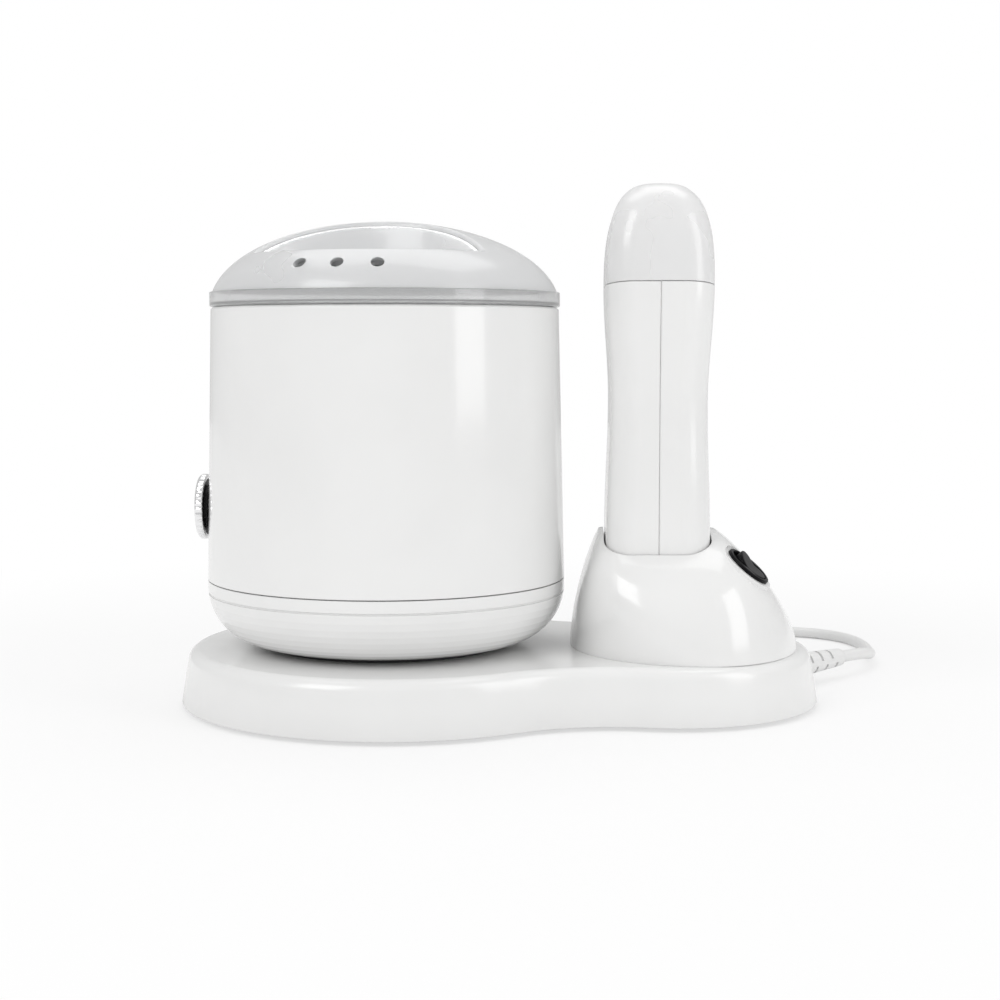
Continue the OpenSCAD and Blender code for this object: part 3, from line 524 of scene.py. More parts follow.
def middle(node):
    low, high = (Vector(c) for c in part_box(node))
    return (low + high) / 2


def reach(node):
    """Half of a node's extents."""
    low, high = (Vector(c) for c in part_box(node))
    return (high - low) / 2


def arc(cx, cy, r, a0, a1, n):
    """Points of an arc in a plane, degrees."""
    turns = [math.radians(a0 + (a1 - a0) * i / n) for i in range(n + 1)]
    return [(cx + r * math.cos(a), cy + r * math.sin(a)) for a in turns]


def filleted(points, radii, steps=6):
    """Closed outline with each corner rounded by its own radius."""
    out = []
    for i, corner in enumerate(points):
        p = Vector(corner)
        a = Vector(points[i - 1]) - p
        b = Vector(points[(i + 1) % len(points)]) - p
        r = radii[i]
        la, lb = a.length, b.length
        if r <= 0 or la < 1e-9 or lb < 1e-9:
            out.append(tuple(p))
            continue
        a.normalize()
        b.normalize()
        half = math.acos(max(-1, min(1, a.dot(b)))) / 2
        if abs(half - math.pi / 2) < 0.02:
            out.append(tuple(p))
            continue
        back = min(r / math.tan(half), 0.45 * la, 0.45 * lb)
        r = back * math.tan(half)
        centre = p + (a + b).normalized() * (r / math.sin(half))
        start, end = p + a * back, p + b * back
        for k in range(steps + 1):
            t = k / steps
            w = (start - centre) * (1 - t) + (end - centre) * t
            out.append(tuple(centre + w.normalized() * r))
    return out


def lathed(name, outline, at, slot, body, nodes, around):
    """Closed outline of (radius, height) turned round the upright axis at a point."""
    count = len(outline)
    points, faces = [], []
    for k in range(around):
        a = 2 * math.pi * k / around
        points += [
            (at[0] + r * math.cos(a), at[1] + r * math.sin(a), at[2] + z)
            for r, z in outline
        ]
    for k in range(around):
        p, q = k * count, (k + 1) % around * count
        for i in range(count):
            j = (i + 1) % count
            faces.append((p + i, q + i, q + j, p + j))
    return new_piece(name, points, faces, slot, body, nodes)


def lofted(rings, ends=True):
    """Points and faces of a skin through rings, with flat ends where asked."""
    n = len(rings[0])
    points = [p for ring in rings for p in ring]
    faces = []
    for k in range(len(rings) - 1):
        for i in range(n):
            j = (i + 1) % n
            faces.append((k * n + i, k * n + j, (k + 1) * n + j, (k + 1) * n + i))
    if ends:
        faces.append(tuple(range(n)))
        faces.append(tuple((len(rings) - 1) * n + i for i in range(n)))
    return points, faces


def soft_min(a, b, k):
    """Smaller of two values with a round of width k where they meet."""
    h = max(k - abs(a - b), 0) / k
    return min(a, b) - h * h * k / 4


LID_WALL = 2.2 * MM
BAND_H = 7 * MM
LID_H = 40.6 * MM
LID_SHARP = 85
SKIRT_IN = 3.9 * MM
SKIRT_WALL = 2 * MM
SHELF_UP = 3.2 * MM
SHELF_WALL = 1.6 * MM
SCOOP_R = 65.5 * MM
SCOOP_H = 22 * MM
RIDGE_HALF = 13 * MM
RIDGE_SHARE = 0.59
RIDGE_TURN = math.radians(-6)
SCOOP_SLOPE = 5.0
SCOOP_ROUND = 2.6 * MM
VENT_R = 3 * MM
VENT_TURNS = (-24.5, -10.5, 3.5)
VENT_SHARE = 0.887
VENT_UP = 0.455
VENT_LEAN = math.radians(58)
VENT_REACH = 6 * MM


def lid_height(x, y, lid_r, drop=0.0):
    """Height of the lid's skin above the rim, lowered by drop."""
    a, b = lid_r - drop, LID_H - drop
    share = min(1, (x * x + y * y) / (a * a))
    dome = b * math.sqrt(max(0, 1 - share))
    ridge_off = SCOOP_R**2 - RIDGE_HALF**2
    ridge_off /= 2 * (SCOOP_R * RIDGE_SHARE - RIDGE_HALF)
    for side in (0, math.pi):
        c, s = math.cos(-RIDGE_TURN - side), math.sin(-RIDGE_TURN - side)
        u, v = x * c - y * s, x * s + y * c
        out = max(
            math.hypot(u, v) - SCOOP_R,
            math.hypot(u, v + ridge_off) - (ridge_off - RIDGE_HALF),
        )
        wall = SCOOP_H - drop + SCOOP_SLOPE * max(0, out + drop)
        dome = soft_min(dome, wall, SCOOP_ROUND)
    return dome


class HEATER_OT_lid(bpy.types.Operator):
    """Makes the frosted lid with its ridge, finger scoops and vents, and its clear rim"""

    bl_idname = "wax_heater.lid"
    bl_label = "Lid"

    def execute(self, context):
        centre = middle("lid_rim")
        lid_r = reach("lid_rim").x
        rim_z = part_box("pot_housing")[1][2]
        around, steps = 320, 120
        low_t = math.asin(BAND_H / LID_H)
        rings = []
        for drop in (0.0, LID_WALL):
            turn = []
            for i in range(steps):
                t = low_t + (math.pi / 2 - low_t) * i / steps
                r = (lid_r - drop) * math.cos(t)
                ring = []
                for k in range(around):
                    a = 2 * math.pi * k / around
                    x, y = r * math.cos(a), r * math.sin(a)
                    z = lid_height(x, y, lid_r, drop)
                    if i == 0:
                        z = BAND_H
                    ring.append((centre.x + x, centre.y + y, rim_z + z))
                turn.append(ring)
            rings.append(turn)
        outer, inner = rings
        points, faces = lofted(inner[::-1] + outer)
        dome = new_piece(
            "lid_frosted_dome",
            points,
            faces,
            "lid_frosted",
            "lid",
            ["lid_dome"],
            LID_SHARP,
        )
        vent_cut(dome, centre, lid_r, rim_z)
        skirt_r = lid_r - SKIRT_IN
        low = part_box("lid_rim")[0][2]
        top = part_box("lid_rim")[1][2]
        shelf = low + SHELF_UP
        outline = [
            (skirt_r - SKIRT_WALL, low),
            (skirt_r, low),
            (skirt_r, shelf),
            (lid_r, shelf),
            (lid_r, top),
            (lid_r - LID_WALL, top),
            (lid_r - LID_WALL, shelf + SHELF_WALL),
            (skirt_r - SKIRT_WALL, shelf + SHELF_WALL),
        ]
        radii = [0.5 * MM, 0.5 * MM, 0.4 * MM, 0.7 * MM, 0, 0, 0.6 * MM, 0.5 * MM]
        lathed(
            "lid_clear_band",
            filleted(outline, radii),
            (centre.x, centre.y, 0),
            "lid_clear",
            "lid",
            ["lid_rim"],
            around,
        )
        return {"FINISHED"}


def round_bar(at, axis, side, r, low, high, count):
    """Points and faces of a round bar along an axis, its first edge towards side."""
    up = axis.cross(side)
    rings = []
    for end in (low, high):
        ring = []
        for k in range(count):
            a = 2 * math.pi * k / count
            ring.append(tuple(at + axis * end + r * (math.cos(a) * side + math.sin(a) * up)))
        rings.append(ring)
    return lofted(rings)


def vent_cut(dome, centre, lid_r, rim_z):
    """Drills the three vents through the lid's front."""
    points, faces = [], []
    for turn in VENT_TURNS:
        a = math.radians(turn)
        out = Vector((math.sin(a), -math.cos(a), 0))
        at = Vector((centre.x, centre.y, rim_z)) + out * lid_r * VENT_SHARE
        at.z += LID_H * VENT_UP
        axis = out * math.sin(VENT_LEAN) + Vector((0, 0, math.cos(VENT_LEAN)))
        side = axis.cross(Vector((0, 0, 1))).normalized()
        bar, skin = round_bar(at, axis, side, VENT_R, -VENT_REACH, VENT_REACH, 32)
        faces += [tuple(len(points) + i for i in face) for face in skin]
        points += bar
    combine(dome, plain_object("vent_drill", points, faces))
    shade(dome.data, LID_SHARP)


# ---------------- handset and cap

HAND_W = 50.6
HAND_WAIST_W = 45.6
HAND_FOOT_W = 49.0
HAND_D = 73.0
HAND_CORNER = 14.0
HAND_LEN = 166.0
WAIST_UP = 114.0
FOOT_LEN = 48.0
HAND_WALL = 2.0
HAND_FLOOR = 2.5
CAP_H = 47.5
CAP_WALL = 1.6
CAP_GAP = 0.35
CAP_ARCH = 3.0
CAP_TOP_SHARE = 0.998
FOOT_ROUND = 0.9
WINDOW_W = 13.0
WINDOW_LEN = 52.0
WINDOW_UP = WAIST_UP - 6
CONTACT_Y = 12.0
CONTACT_HOLE_R = 3.8
SEAM_GAP = 0.06
SEAM_GROOVE = 0.45


def hand_width(u):
    """Width of the handset at height u above its foot, in millimetres."""
    if u <= FOOT_LEN:
        return HAND_FOOT_W
    if u <= WAIST_UP:
        t = (u - FOOT_LEN) / (WAIST_UP - FOOT_LEN)
        return HAND_FOOT_W + (HAND_WAIST_W - HAND_FOOT_W) * smooth(t)
    t = (u - WAIST_UP) / (HAND_LEN - WAIST_UP)
    return HAND_WAIST_W + (HAND_W - HAND_WAIST_W) * smooth(t)


def hand_depth(width):
    return HAND_D - (HAND_W - width)


def corner_at(width, inset):
    return min(HAND_CORNER, width / 2 - 1) - inset


def round_rect(w, d, r, k=12):
    """Rectangle with round corners, anticlockwise."""
    w, d = w / 2 - r, d / 2 - r
    return (
        arc(w, d, r, 0, 90, k)
        + arc(-w, d, r, 90, 180, k)
        + arc(-w, -d, r, 180, 270, k)
        + arc(w, -d, r, 270, 360, k)
    )


def left_side(w, d, r, k):
    """The -X side of a round rectangle, from back to front."""
    back = arc(-w / 2 + r, d / 2 - r, r, 90, 180, k)
    return back + arc(-w / 2 + r, -d / 2 + r, r, 180, 270, k)


def half_loop(w, d, r, wall, k=12):
    """Half of a hollow round rectangle on the -X side, with a groove at its seam."""
    outer = left_side(w, d, r, k)
    di = d - 2 * wall
    inner = left_side(w - 2 * wall, di, r - wall, k)
    g = SEAM_GROOVE
    return (
        [(-SEAM_GAP, d / 2 - g), (-SEAM_GAP - g, d / 2)]
        + outer
        + [(-SEAM_GAP - g, -d / 2), (-SEAM_GAP, -d / 2 + g), (-SEAM_GAP, -di / 2)]
        + inner[::-1]
        + [(-SEAM_GAP, di / 2)]
    )


def arched(points, z, bend, half_d):
    return [(x, y, z + CAP_ARCH * bend * (y / half_d) ** 2) for x, y in points]


def at_height(outline, z):
    return [(x, y, z) for x, y in outline]


def placed(points, at, mirror=False):
    """Points in millimetres moved to a point in metres, mirrored in X where asked."""
    side = -1 if mirror else 1
    return [(at[0] + side * x * MM, at[1] + y * MM, at[2] + z * MM) for x, y, z in points]


def prism(outline, low, high, at, upright=True):
    """Prism on an outline in millimetres, from low to high along Z, or along X."""
    rings = [at_height(outline, end) for end in (low, high)]
    if not upright:
        rings = [[(z, x, y) for x, y, z in ring] for ring in rings]
    points, faces = lofted(rings)
    return plain_object("cutter", placed(points, at), faces)


class HEATER_OT_handset(bpy.types.Operator):
    """Makes the handset's two half shells with their seam and level window"""

    bl_idname = "wax_heater.handset"
    bl_label = "Handset"

    def execute(self, context):
        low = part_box("handset_shell_left")[0]
        at = (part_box("handset_shell_left")[1][0], 0, low[2])
        levels = [0, 0.35, FOOT_ROUND, HAND_FLOOR + 0.1]
        levels += [FOOT_LEN * i / 6 for i in range(1, 7)]
        levels += [FOOT_LEN + (WAIST_UP - FOOT_LEN) * i / 20 for i in range(1, 21)]
        levels += [WAIST_UP + (HAND_LEN - WAIST_UP) * i / 20 for i in range(1, 21)]
        for name, mirror in (("left", False), ("right", True)):
            rings = []
            for u in levels:
                # the foot's edge is rounded over its first millimetre
                back = 0.5 * (1 - min(u / FOOT_ROUND, 1)) ** 2
                w = hand_width(u)
                d = hand_depth(w)
                wall = HAND_WALL - back
                bend = max(0, 1 - (HAND_LEN - u) / (HAND_LEN - WAIST_UP))
                corner = corner_at(w, back)
                loop = half_loop(w - 2 * back, d - 2 * back, corner, wall)
                rings.append(placed(arched(loop, u, bend, d / 2), at, mirror))
            points, faces = lofted(rings)
            piece = new_piece(
                f"handset_half_{name}",
                points,
                faces,
                "white_shell",
                "handset",
                [f"handset_shell_{name}"],
                35,
            )
            if mirror:
                window = round_rect(WINDOW_W, WINDOW_LEN, WINDOW_W / 2 - 0.01)
                window_at = (at[0], 0, at[2] + WINDOW_UP * MM)
                low_x, high_x = HAND_WAIST_W / 2 - 4, HAND_W / 2 + 1
                combine(piece, prism(window, low_x, high_x, window_at, False))
                piece.data.set_sharp_from_angle(angle=math.radians(35))
            self.floor(name, at, mirror)
        return {"FINISHED"}

    def floor(self, name, at, mirror):
        """Floor of a half shell with its two half holes for the contacts."""
        w, d = HAND_FOOT_W - HAND_WALL, hand_depth(HAND_FOOT_W) - HAND_WALL
        r = HAND_CORNER - HAND_WALL / 2
        edge = left_side(w, d, r, 10)
        for y in (-CONTACT_Y, CONTACT_Y):
            edge += arc(-SEAM_GAP, y, CONTACT_HOLE_R, 270, 90, 16)
        rings = [placed(at_height(edge, z), at, mirror) for z in (0.05, HAND_FLOOR)]
        points, faces = lofted(rings)
        new_piece(f"handset_floor_{name}", points, faces, "white_shell", "handset")


class HEATER_OT_cap(bpy.types.Operator):
    """Makes the milky cap over the roller"""

    bl_idname = "wax_heater.cap"
    bl_label = "Cap"

    def execute(self, context):
        # the cap stands a hair over the handset's arched top
        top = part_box("handset_shell_left")[0][2] + (HAND_LEN + CAP_GAP) * MM
        at = (middle("handset_cap").x, 0, top)
        height = CAP_H + (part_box("handset_cap")[0][2] - top) / MM
        steps = 40
        skins = []
        for inset in (0.0, CAP_WALL):
            rings = []
            for i in range(steps + 1):
                t = CAP_TOP_SHARE * math.sin(math.pi / 2 * i / steps)
                w = HAND_W * (1 - t**2.6) ** (1 / 3.2)
                d = hand_depth(w)
                outline = round_rect(w - 2 * inset, d - 2 * inset, corner_at(w, inset))
                rings.append(
                    placed(arched(outline, t * (height - inset), 1 - t, d / 2), at)
                )
            skins.append(rings)
        outer, inner = skins
        points, faces = lofted(inner[::-1] + outer)
        new_piece("cap_milky", points, faces, "cap_clear", "cap", ["handset_cap"], 50)
        return {"FINISHED"}


# ---------------- base and dock

DOCK_END_R = 72.0
WAIST_R = 80.0
BASE_WALL = 2.5
DECK_EDGE = 6.0
SIDE_LEAN = math.radians(9)
DOCK_IN = 41.0
DOCK_OUT = 68.0
DOCK_HALF_D = 61.0
DOCK_WALL = 2.2
DOCK_GAP = 0.7
SEAT_SLOPE = math.radians(40)
SEAT_TURN = math.radians(16)
SEAT_LIP = 2.0
SWITCH_HOLE_R = 10.2
BOSS_DEPTH = 8.0
HOLE_DEPTH = 20.0
CLEAR_ABOVE = 10.0
DOCK_TOP_SHARE = 0.975
DOCK_CREST = 1.2
PIVOT_DEPTH = 4.0


def base_plan():
    """Pot end radius, distance of the ends, and the waist's centre, in millimetres."""
    half = reach("base_cover") / MM
    pot_r = half.y
    gap = 2 * half.x - pot_r - DOCK_END_R
    x = ((pot_r + WAIST_R) ** 2 - (DOCK_END_R + WAIST_R) ** 2 + gap**2) / (2 * gap)
    y = math.sqrt((pot_r + WAIST_R) ** 2 - x**2)
    return -half.x + pot_r, half.x - DOCK_END_R, pot_r, x, y


def base_outline(inset):
    """Round ends joined by hollow waists, drawn in by inset."""
    pot_x, dock_x, pot_r, x, y = base_plan()
    pot_a = math.degrees(math.atan2(y, x))
    dock_a = math.degrees(math.atan2(y, dock_x - pot_x - x))
    front = arc(pot_x + x, -y, WAIST_R + inset, 180 - pot_a, dock_a, 30)
    back = arc(pot_x + x, y, WAIST_R + inset, 360 - dock_a, 180 + pot_a, 30)
    return (
        arc(pot_x, 0, pot_r - inset, pot_a, 360 - pot_a, 180)
        + front[1:-1]
        + arc(dock_x, 0, DOCK_END_R - inset, dock_a - 180, 180 - dock_a, 120)
        + back[1:-1]
    )


def edge_profile(z0, z1, edge, lean, steps):
    back = (edge - (z0 - z1 + edge) * math.sin(lean)) / math.cos(lean)
    rounded = arc(-back, z1 - edge, edge, math.degrees(lean), 90, steps)
    return [(0.6, z0), (0.17, z0 + 0.17), (0, z0 + 0.6)] + [(-x, z) for x, z in rounded]


class HEATER_OT_base(bpy.types.Operator):
    """Makes the base's cover with its leaning side and rounded deck"""

    bl_idname = "wax_heater.base"
    bl_label = "Base"

    def execute(self, context):
        low, high = (Vector(c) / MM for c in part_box("base_cover"))
        outer = edge_profile(low.z, high.z, DECK_EDGE, SIDE_LEAN, 14)
        inner = [
            (inset + BASE_WALL, z - (BASE_WALL if k > 3 else 0))
            for k, (inset, z) in enumerate(outer)
        ][3:]
        inner = [(BASE_WALL + 0.6, low.z)] + inner
        rings = [
            [(x * MM, y * MM, z * MM) for x, y in base_outline(inset)]
            for inset, z in inner[::-1] + outer
        ]
        points, faces = lofted(rings)
        new_piece(
            "base_shell", points, faces, "base_white", "root", ["base_cover"], 35
        )
        return {"FINISHED"}


def squared(share, n):
    """Sine or cosine turned into a superellipse's share, n being its squareness."""
    return math.copysign(abs(share) ** (2 / n), share)


def dock_ring(t, inset, z, hand_x, crest, count):
    """Ring of the dock at share t of its height, a superellipse that squares upwards."""
    n = 2 + 3 * t**2
    left = hand_x - DOCK_IN + 14 * t**1.8 + inset
    right = hand_x + crest + (DOCK_OUT - crest) * (1 - t**1.5) ** 0.85 - inset
    centre = hand_x + 20 - 20 * t
    b = DOCK_HALF_D * (1 - t**2.2) ** (1 / 2.2) - inset
    ring = []
    for i in range(count):
        a = 2 * math.pi * i / count
        c, s = math.cos(a), math.sin(a)
        half = right - centre if c > 0 else centre - left
        ring.append((centre + squared(c, n) * half, squared(s, n) * b, z))
    return ring


def disc(at, axis, r, low, high):
    """Round cutter or boss along an axis, with its measures in millimetres."""
    side = axis.orthogonal().normalized()
    points, faces = round_bar(at, axis, side, r * MM, low * MM, high * MM, 96)
    return plain_object("round_cutter", points, faces)


def switch_frame(tilt=0.0, up=PIVOT_DEPTH):
    """Place of the switch at a height above the rocker's pivot, with its turn and slope."""
    joint = next(j for j in frame["joints"] if j["child"] == "rocker")
    turned = Matrix.Rotation(-SEAT_TURN, 4, "Z") @ Matrix.Rotation(SEAT_SLOPE, 4, "Y")
    at = Matrix.Translation(Vector(joint["pos_m"])) @ turned
    return at @ Matrix.Translation((0, 0, up * MM)) @ Matrix.Rotation(tilt, 4, "Y")


class HEATER_OT_dock(bpy.types.Operator):
    """Makes the handset's dock with its opening and the switch's seat"""

    bl_idname = "wax_heater.dock"
    bl_label = "Dock"

    def execute(self, context):
        low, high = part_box("dock_housing")
        hand_x = middle("dock_cup").x / MM
        deck = low[2] / MM
        height = high[2] / MM - deck
        opening_w = HAND_FOOT_W + 2 * DOCK_GAP
        opening_d = hand_depth(HAND_FOOT_W) + 2 * DOCK_GAP
        crest = opening_w / 2 + DOCK_CREST
        steps, count = 48, 144
        skins = []
        for inset, sink in ((0, 0), (DOCK_WALL, 1)):
            rings = []
            for i in range(steps + 1):
                t = DOCK_TOP_SHARE * math.sin(math.pi / 2 * i / steps)
                z = deck + (height - inset) * t / DOCK_TOP_SHARE
                z -= sink if i == 0 else 0
                ring = dock_ring(t, inset, z, hand_x, crest, count)
                rings.append([(x * MM, y * MM, z * MM) for x, y, z in ring])
            skins.append(rings)
        points, faces = lofted(skins[0])
        shell = new_piece(
            "dock_shell", points, faces, "white_shell", "root", ["dock_housing"], 35
        )
        at = switch_frame()
        seat, axis = at.translation, at.col[2].to_3d().normalized()
        seat_r = BEZEL_R + SEAT_LIP
        combine(shell, disc(seat, axis, seat_r, -BOSS_DEPTH, 0), "UNION")
        points, faces = lofted(skins[1])
        combine(shell, plain_object("hollow", points, faces))
        opening = round_rect(opening_w, opening_d, HAND_CORNER)
        at = (hand_x * MM, 0, deck * MM)
        combine(shell, prism(opening, -5, height + CLEAR_ABOVE, at))
        combine(shell, disc(seat, axis, SWITCH_HOLE_R, -HOLE_DEPTH, CLEAR_ABOVE))
        combine(shell, disc(seat, axis, seat_r, 0, HOLE_DEPTH))
        shade(shell.data, 30)
        return {"FINISHED"}


# ---------------- switch, knob and plug

BEZEL_R = 11.5
BEZEL_H = 1.6
BODY_R = 10.1
BODY_H = 11.2
SWITCH_FLOOR = 1.5
WINDOW_R = 9.7
WINDOW_HALF = 7.6
ROCKER_R = 8.3
ROCKER_HALF = 7.3
ROCKER_TILT = math.radians(10)
KNOB_RIBS = 36
RIB_DEPTH = 0.42
FACE_IN = 2.85
POINTER_W = 1.3
POINTER_ROUND = 0.6
WELD = 1e-7
GRIP_FROM = 36
GRIP_TO = 46
GRIP_DEPTH = 0.22


def trimmed_circle(r, half, inset, count=96):
    """Circle whose sides are cut flat at a half width, drawn in by inset."""
    ring = []
    for k in range(count):
        a = 2 * math.pi * (k + 0.5) / count
        reach_out = min(r - inset, (half - inset) / max(abs(math.sin(a)), 1e-6))
        ring.append((reach_out * math.cos(a), reach_out * math.sin(a)))
    return ring


def moved(rings, matrix):
    return [[tuple(matrix @ (Vector(p) * MM)) for p in ring] for ring in rings]


class HEATER_OT_switch(bpy.types.Operator):
    """Makes the round rocker switch and its bezel"""

    bl_idname = "wax_heater.switch"
    bl_label = "Switch"

    def execute(self, context):
        profile = [
            (BODY_R - 0.6, -BODY_H),
            (BODY_R, -BODY_H + 0.6),
            (BODY_R, 0),
            (BEZEL_R, 0),
            (BEZEL_R, BEZEL_H - 0.7),
            (BEZEL_R - 0.25, BEZEL_H - 0.2),
            (BEZEL_R - 0.8, BEZEL_H),
        ]
        rings = [at_height(trimmed_circle(r, 99, 0), z) for r, z in profile]
        window = [
            (-0.6, BEZEL_H),
            (-0.15, BEZEL_H - 0.15),
            (0, BEZEL_H - 0.6),
            (0, SWITCH_FLOOR - BODY_H),
        ]
        for inset, z in window:
            rings.append(at_height(trimmed_circle(WINDOW_R, WINDOW_HALF, inset), z))
        points, faces = lofted(moved(rings, switch_frame()))
        new_piece(
            "switch_bezel", points, faces, "switch_black", "root", ["switch_body"], 35
        )
        place = switch_frame(ROCKER_TILT, 0)
        rings = []
        for share, z, inset in ((0.6, -4.4, 0.6), (0.8, -2.6, 0.1), (1, 0.6, 0)):
            rings.append([(x * share, y, z) for x, y in self.outline(inset)])
        for inset, under in ((0, 0.9), (0.1, 0.4), (0.35, 0.1), (0.8, 0)):
            rings.append([(x, y, self.top(x) - under) for x, y in self.outline(inset)])
        for share in (0.8, 0.6, 0.4, 0.2, 0.02):
            edge = [(x * share, y * share) for x, y in self.outline(0.8)]
            rings.append([(x, y, self.top(x)) for x, y in edge])
        points, faces = lofted(moved(rings, place))
        new_piece(
            "rocker_paddle", points, faces, "switch_black", "rocker", ["rocker"], 35
        )
        return {"FINISHED"}

    def outline(self, inset):
        """Outline of the rocker, drawn in by inset."""
        return trimmed_circle(ROCKER_R, ROCKER_HALF, inset)

    def top(self, x):
        """Height of the rocker's hollow top, two slopes with a soft valley."""
        return 5.3 + 0.23 * math.sqrt(x * x + 0.8)


class HEATER_OT_knob(bpy.types.Operator):
    """Makes the thermostat knob's ribbed bright ring and spun face"""

    bl_idname = "wax_heater.knob"
    bl_label = "Knob"

    def execute(self, context):
        low, high = (Vector(c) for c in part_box("knob_ring"))
        centre = (low + high) / 2
        r = (high.z - low.z) / 2 / MM
        width = (high.x - low.x) / MM
        place = Matrix.Translation((high.x, centre.y, centre.z))
        place = place @ Matrix.Rotation(-math.pi / 2, 4, "Y")
        rings = []
        outer = [
            (0.9, 0),
            (0.3, 0.15),
            (0, 0.5),
            (0, width - 1.2),
            (0.5, width - 0.5),
            (1.1, width - 0.06),
            (1.5, width),
        ]
        for inset, z in outer:
            depth = RIB_DEPTH * (1 - min(1, inset / 0.8))
            rings.append(self.ribbed(r - inset, depth, z))
        for back, z in ((1.95, width - 0.05), (2.2, width - 0.35), (2.2, 0)):
            rings.append(self.ribbed(r - back, 0, z))
        rings.append(rings[0])
        points, faces = lofted(moved(rings, place), ends=False)
        ring = new_piece(
            "knob_ribbed_ring", points, faces, "knob_chrome", "knob", ["knob_ring"], 30
        )
        face_outwards(ring.data, WELD)
        face_r = r - FACE_IN
        plate = [
            (0.0, width - 1.1),
            (0.0, width - 0.5),
            (0.12, width - 0.3),
            (0.4, width - 0.22),
            (2.2, width - 0.3),
            (face_r - 0.4, width - 0.62),
        ]
        rings = [self.ribbed(face_r - inset, 0, z) for inset, z in plate]
        points, faces = lofted(moved(rings, place))
        face = new_piece(
            "knob_spun_face", points, faces, "knob_chrome", "knob", ["knob_face"], 30
        )
        pointer = round_rect(POINTER_W, r * 0.38, POINTER_ROUND, 6)
        notch = prism(pointer, width - 0.75, width + 1, (0, 0, 0))
        notch.data.transform(place @ Matrix.Translation((0, r * 0.55 * MM, 0)))
        combine(face, notch)
        face.data.set_sharp_from_angle(angle=math.radians(30))
        return {"FINISHED"}

    def ribbed(self, r, depth, z):
        """Round ring whose radius dips between the ribs."""
        count = KNOB_RIBS * 8
        ring = []
        for k in range(count):
            a = 2 * math.pi * k / count
            dip = depth * (0.5 - 0.5 * math.cos(KNOB_RIBS * a)) ** 0.6
            ring.append(((r - dip) * math.cos(a), (r - dip) * math.sin(a), z))
        return ring


class HEATER_OT_plug(bpy.types.Operator):
    """Makes the flat mains plug with its grip ridges"""

    bl_idname = "wax_heater.plug"
    bl_label = "Plug"

    def execute(self, context):
        low, high = (Vector(c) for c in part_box("plug_body"))
        at = (high.x, (low.y + high.y) / 2, (low.z + high.z) / 2)
        half_y, half_z = (high.y - low.y) / 2 / MM, (high.z - low.z) / 2 / MM
        length = (high.x - low.x) / MM
        # distance from the lead's end, half width, half thickness and squareness
        stations = [
            (0, 3.6, 3.6, 2),
            (0.6, 4.2, 4.2, 2),
            (5, 4.8, 4.8, 2),
            (11, 5.6, 5.5, 2.2),
            (15, 6.8, 5.6, 2.8),
            (20, 8.6, 5.8, 3.4),
            (25, 11.6, 6.1, 3.8),
            (30, 15, 6.5, 4),
            (34, 17, half_z, 4.4),
            (38, half_y, half_z, 5),
            (length - 1.2, half_y, half_z, 5),
            (length - 0.35, half_y - 0.35, half_z - 0.35, 5),
            (length, half_y - 1.2, half_z - 1.2, 5),
        ]
        rings = []
        for a, b in zip(stations, stations[1:]):
            for k in range(6):
                t = k / 6
                rings.append(self.section(*[p + (q - p) * t for p, q in zip(a, b)]))
        rings.append(self.section(*stations[-1]))
        points, faces = lofted([placed(ring, at, True) for ring in rings])
        new_piece("plug_moulded", points, faces, "plug_white", "root", ["plug_body"], 40)
        return {"FINISHED"}

    def section(self, x, b, c, n):
        """Superellipse across the plug, with grip ridges on its flanks."""
        ridge = 0
        if GRIP_FROM < x < GRIP_TO:
            ridge = GRIP_DEPTH * math.sin(math.pi * (x - GRIP_FROM)) ** 2
        ring = []
        for k in range(64):
            a = 2 * math.pi * (k + 0.5) / 64
            y = squared(math.cos(a), n) * (b - ridge)
            ring.append((x, y, squared(math.sin(a), n) * c))
        return ring


# ---------------- mains lead


LEAD_ROUTE = [
    (172.5, 61.6, 10.5),
    (182, 71.1, 10.3),
    (189, 80.5, 9.4),
    (194, 91, 7.6),
    (197, 103, 5.6),
    (198.5, 116, 4),
    (199.5, 130, 3.3),
    (199, 144, 3.1),
    (196, 157, 3.1),
    (190, 169, 3.1),
    (181, 178, 3.1),
    (169, 184, 3.1),
    (155, 187.5, 3.1),
    (140, 189, 3.1),
    (125, 190, 3.1),
    (109, 191.2, 3.1),
    (93, 192.6, 3.1),
    (77, 194, 3.1),
    (61, 195.5, 3.1),
    (45, 197, 3.1),
    (29, 198.4, 3.2),
    (13, 199.6, 3.3),
    (-3, 200.5, 3.4),
    (-19, 201, 3.6),
    (-35, 201, 3.6),
]
TAIL_ROUTE = [
    (-35, 201, 10.2),
    (-41, 200.9, 10.2),
    (-48, 200.2, 10.1),
    (-55, 198.8, 9.5),
    (-62, 196.8, 8.6),
    (-69, 194.8, 7.7),
    (-76, 193.1, 7.2),
    (-81, 192.3, 7),
    (-86, 192, 7),
]
COIL_AT = (-35, 158)
COIL_OUT_R = 43
COIL_PITCH = 6.6
COIL_TURNS = 2.25
COIL_LOW = 3.6
COIL_HIGH = 10.2


def smooth(t):
    return t * t * (3 - 2 * t)


def coil_point(s):
    """Point of the two-layer coil after s turns, in millimetres."""
    inner = COIL_OUT_R - COIL_TURNS * COIL_PITCH
    up = min(max(s - COIL_TURNS, 0), 0.5) * 2
    if s < COIL_TURNS:
        r = COIL_OUT_R - COIL_PITCH * s
    elif s < COIL_TURNS + 0.5:
        r = inner - 1.5 * math.sin(math.pi * up)
    else:
        r = inner + COIL_PITCH * (s - COIL_TURNS - 0.5)
    a = math.radians(90 + 360 * s)
    z = COIL_LOW + (COIL_HIGH - COIL_LOW) * smooth(up)
    return (COIL_AT[0] + r * math.cos(a), COIL_AT[1] + r * math.sin(a), z)


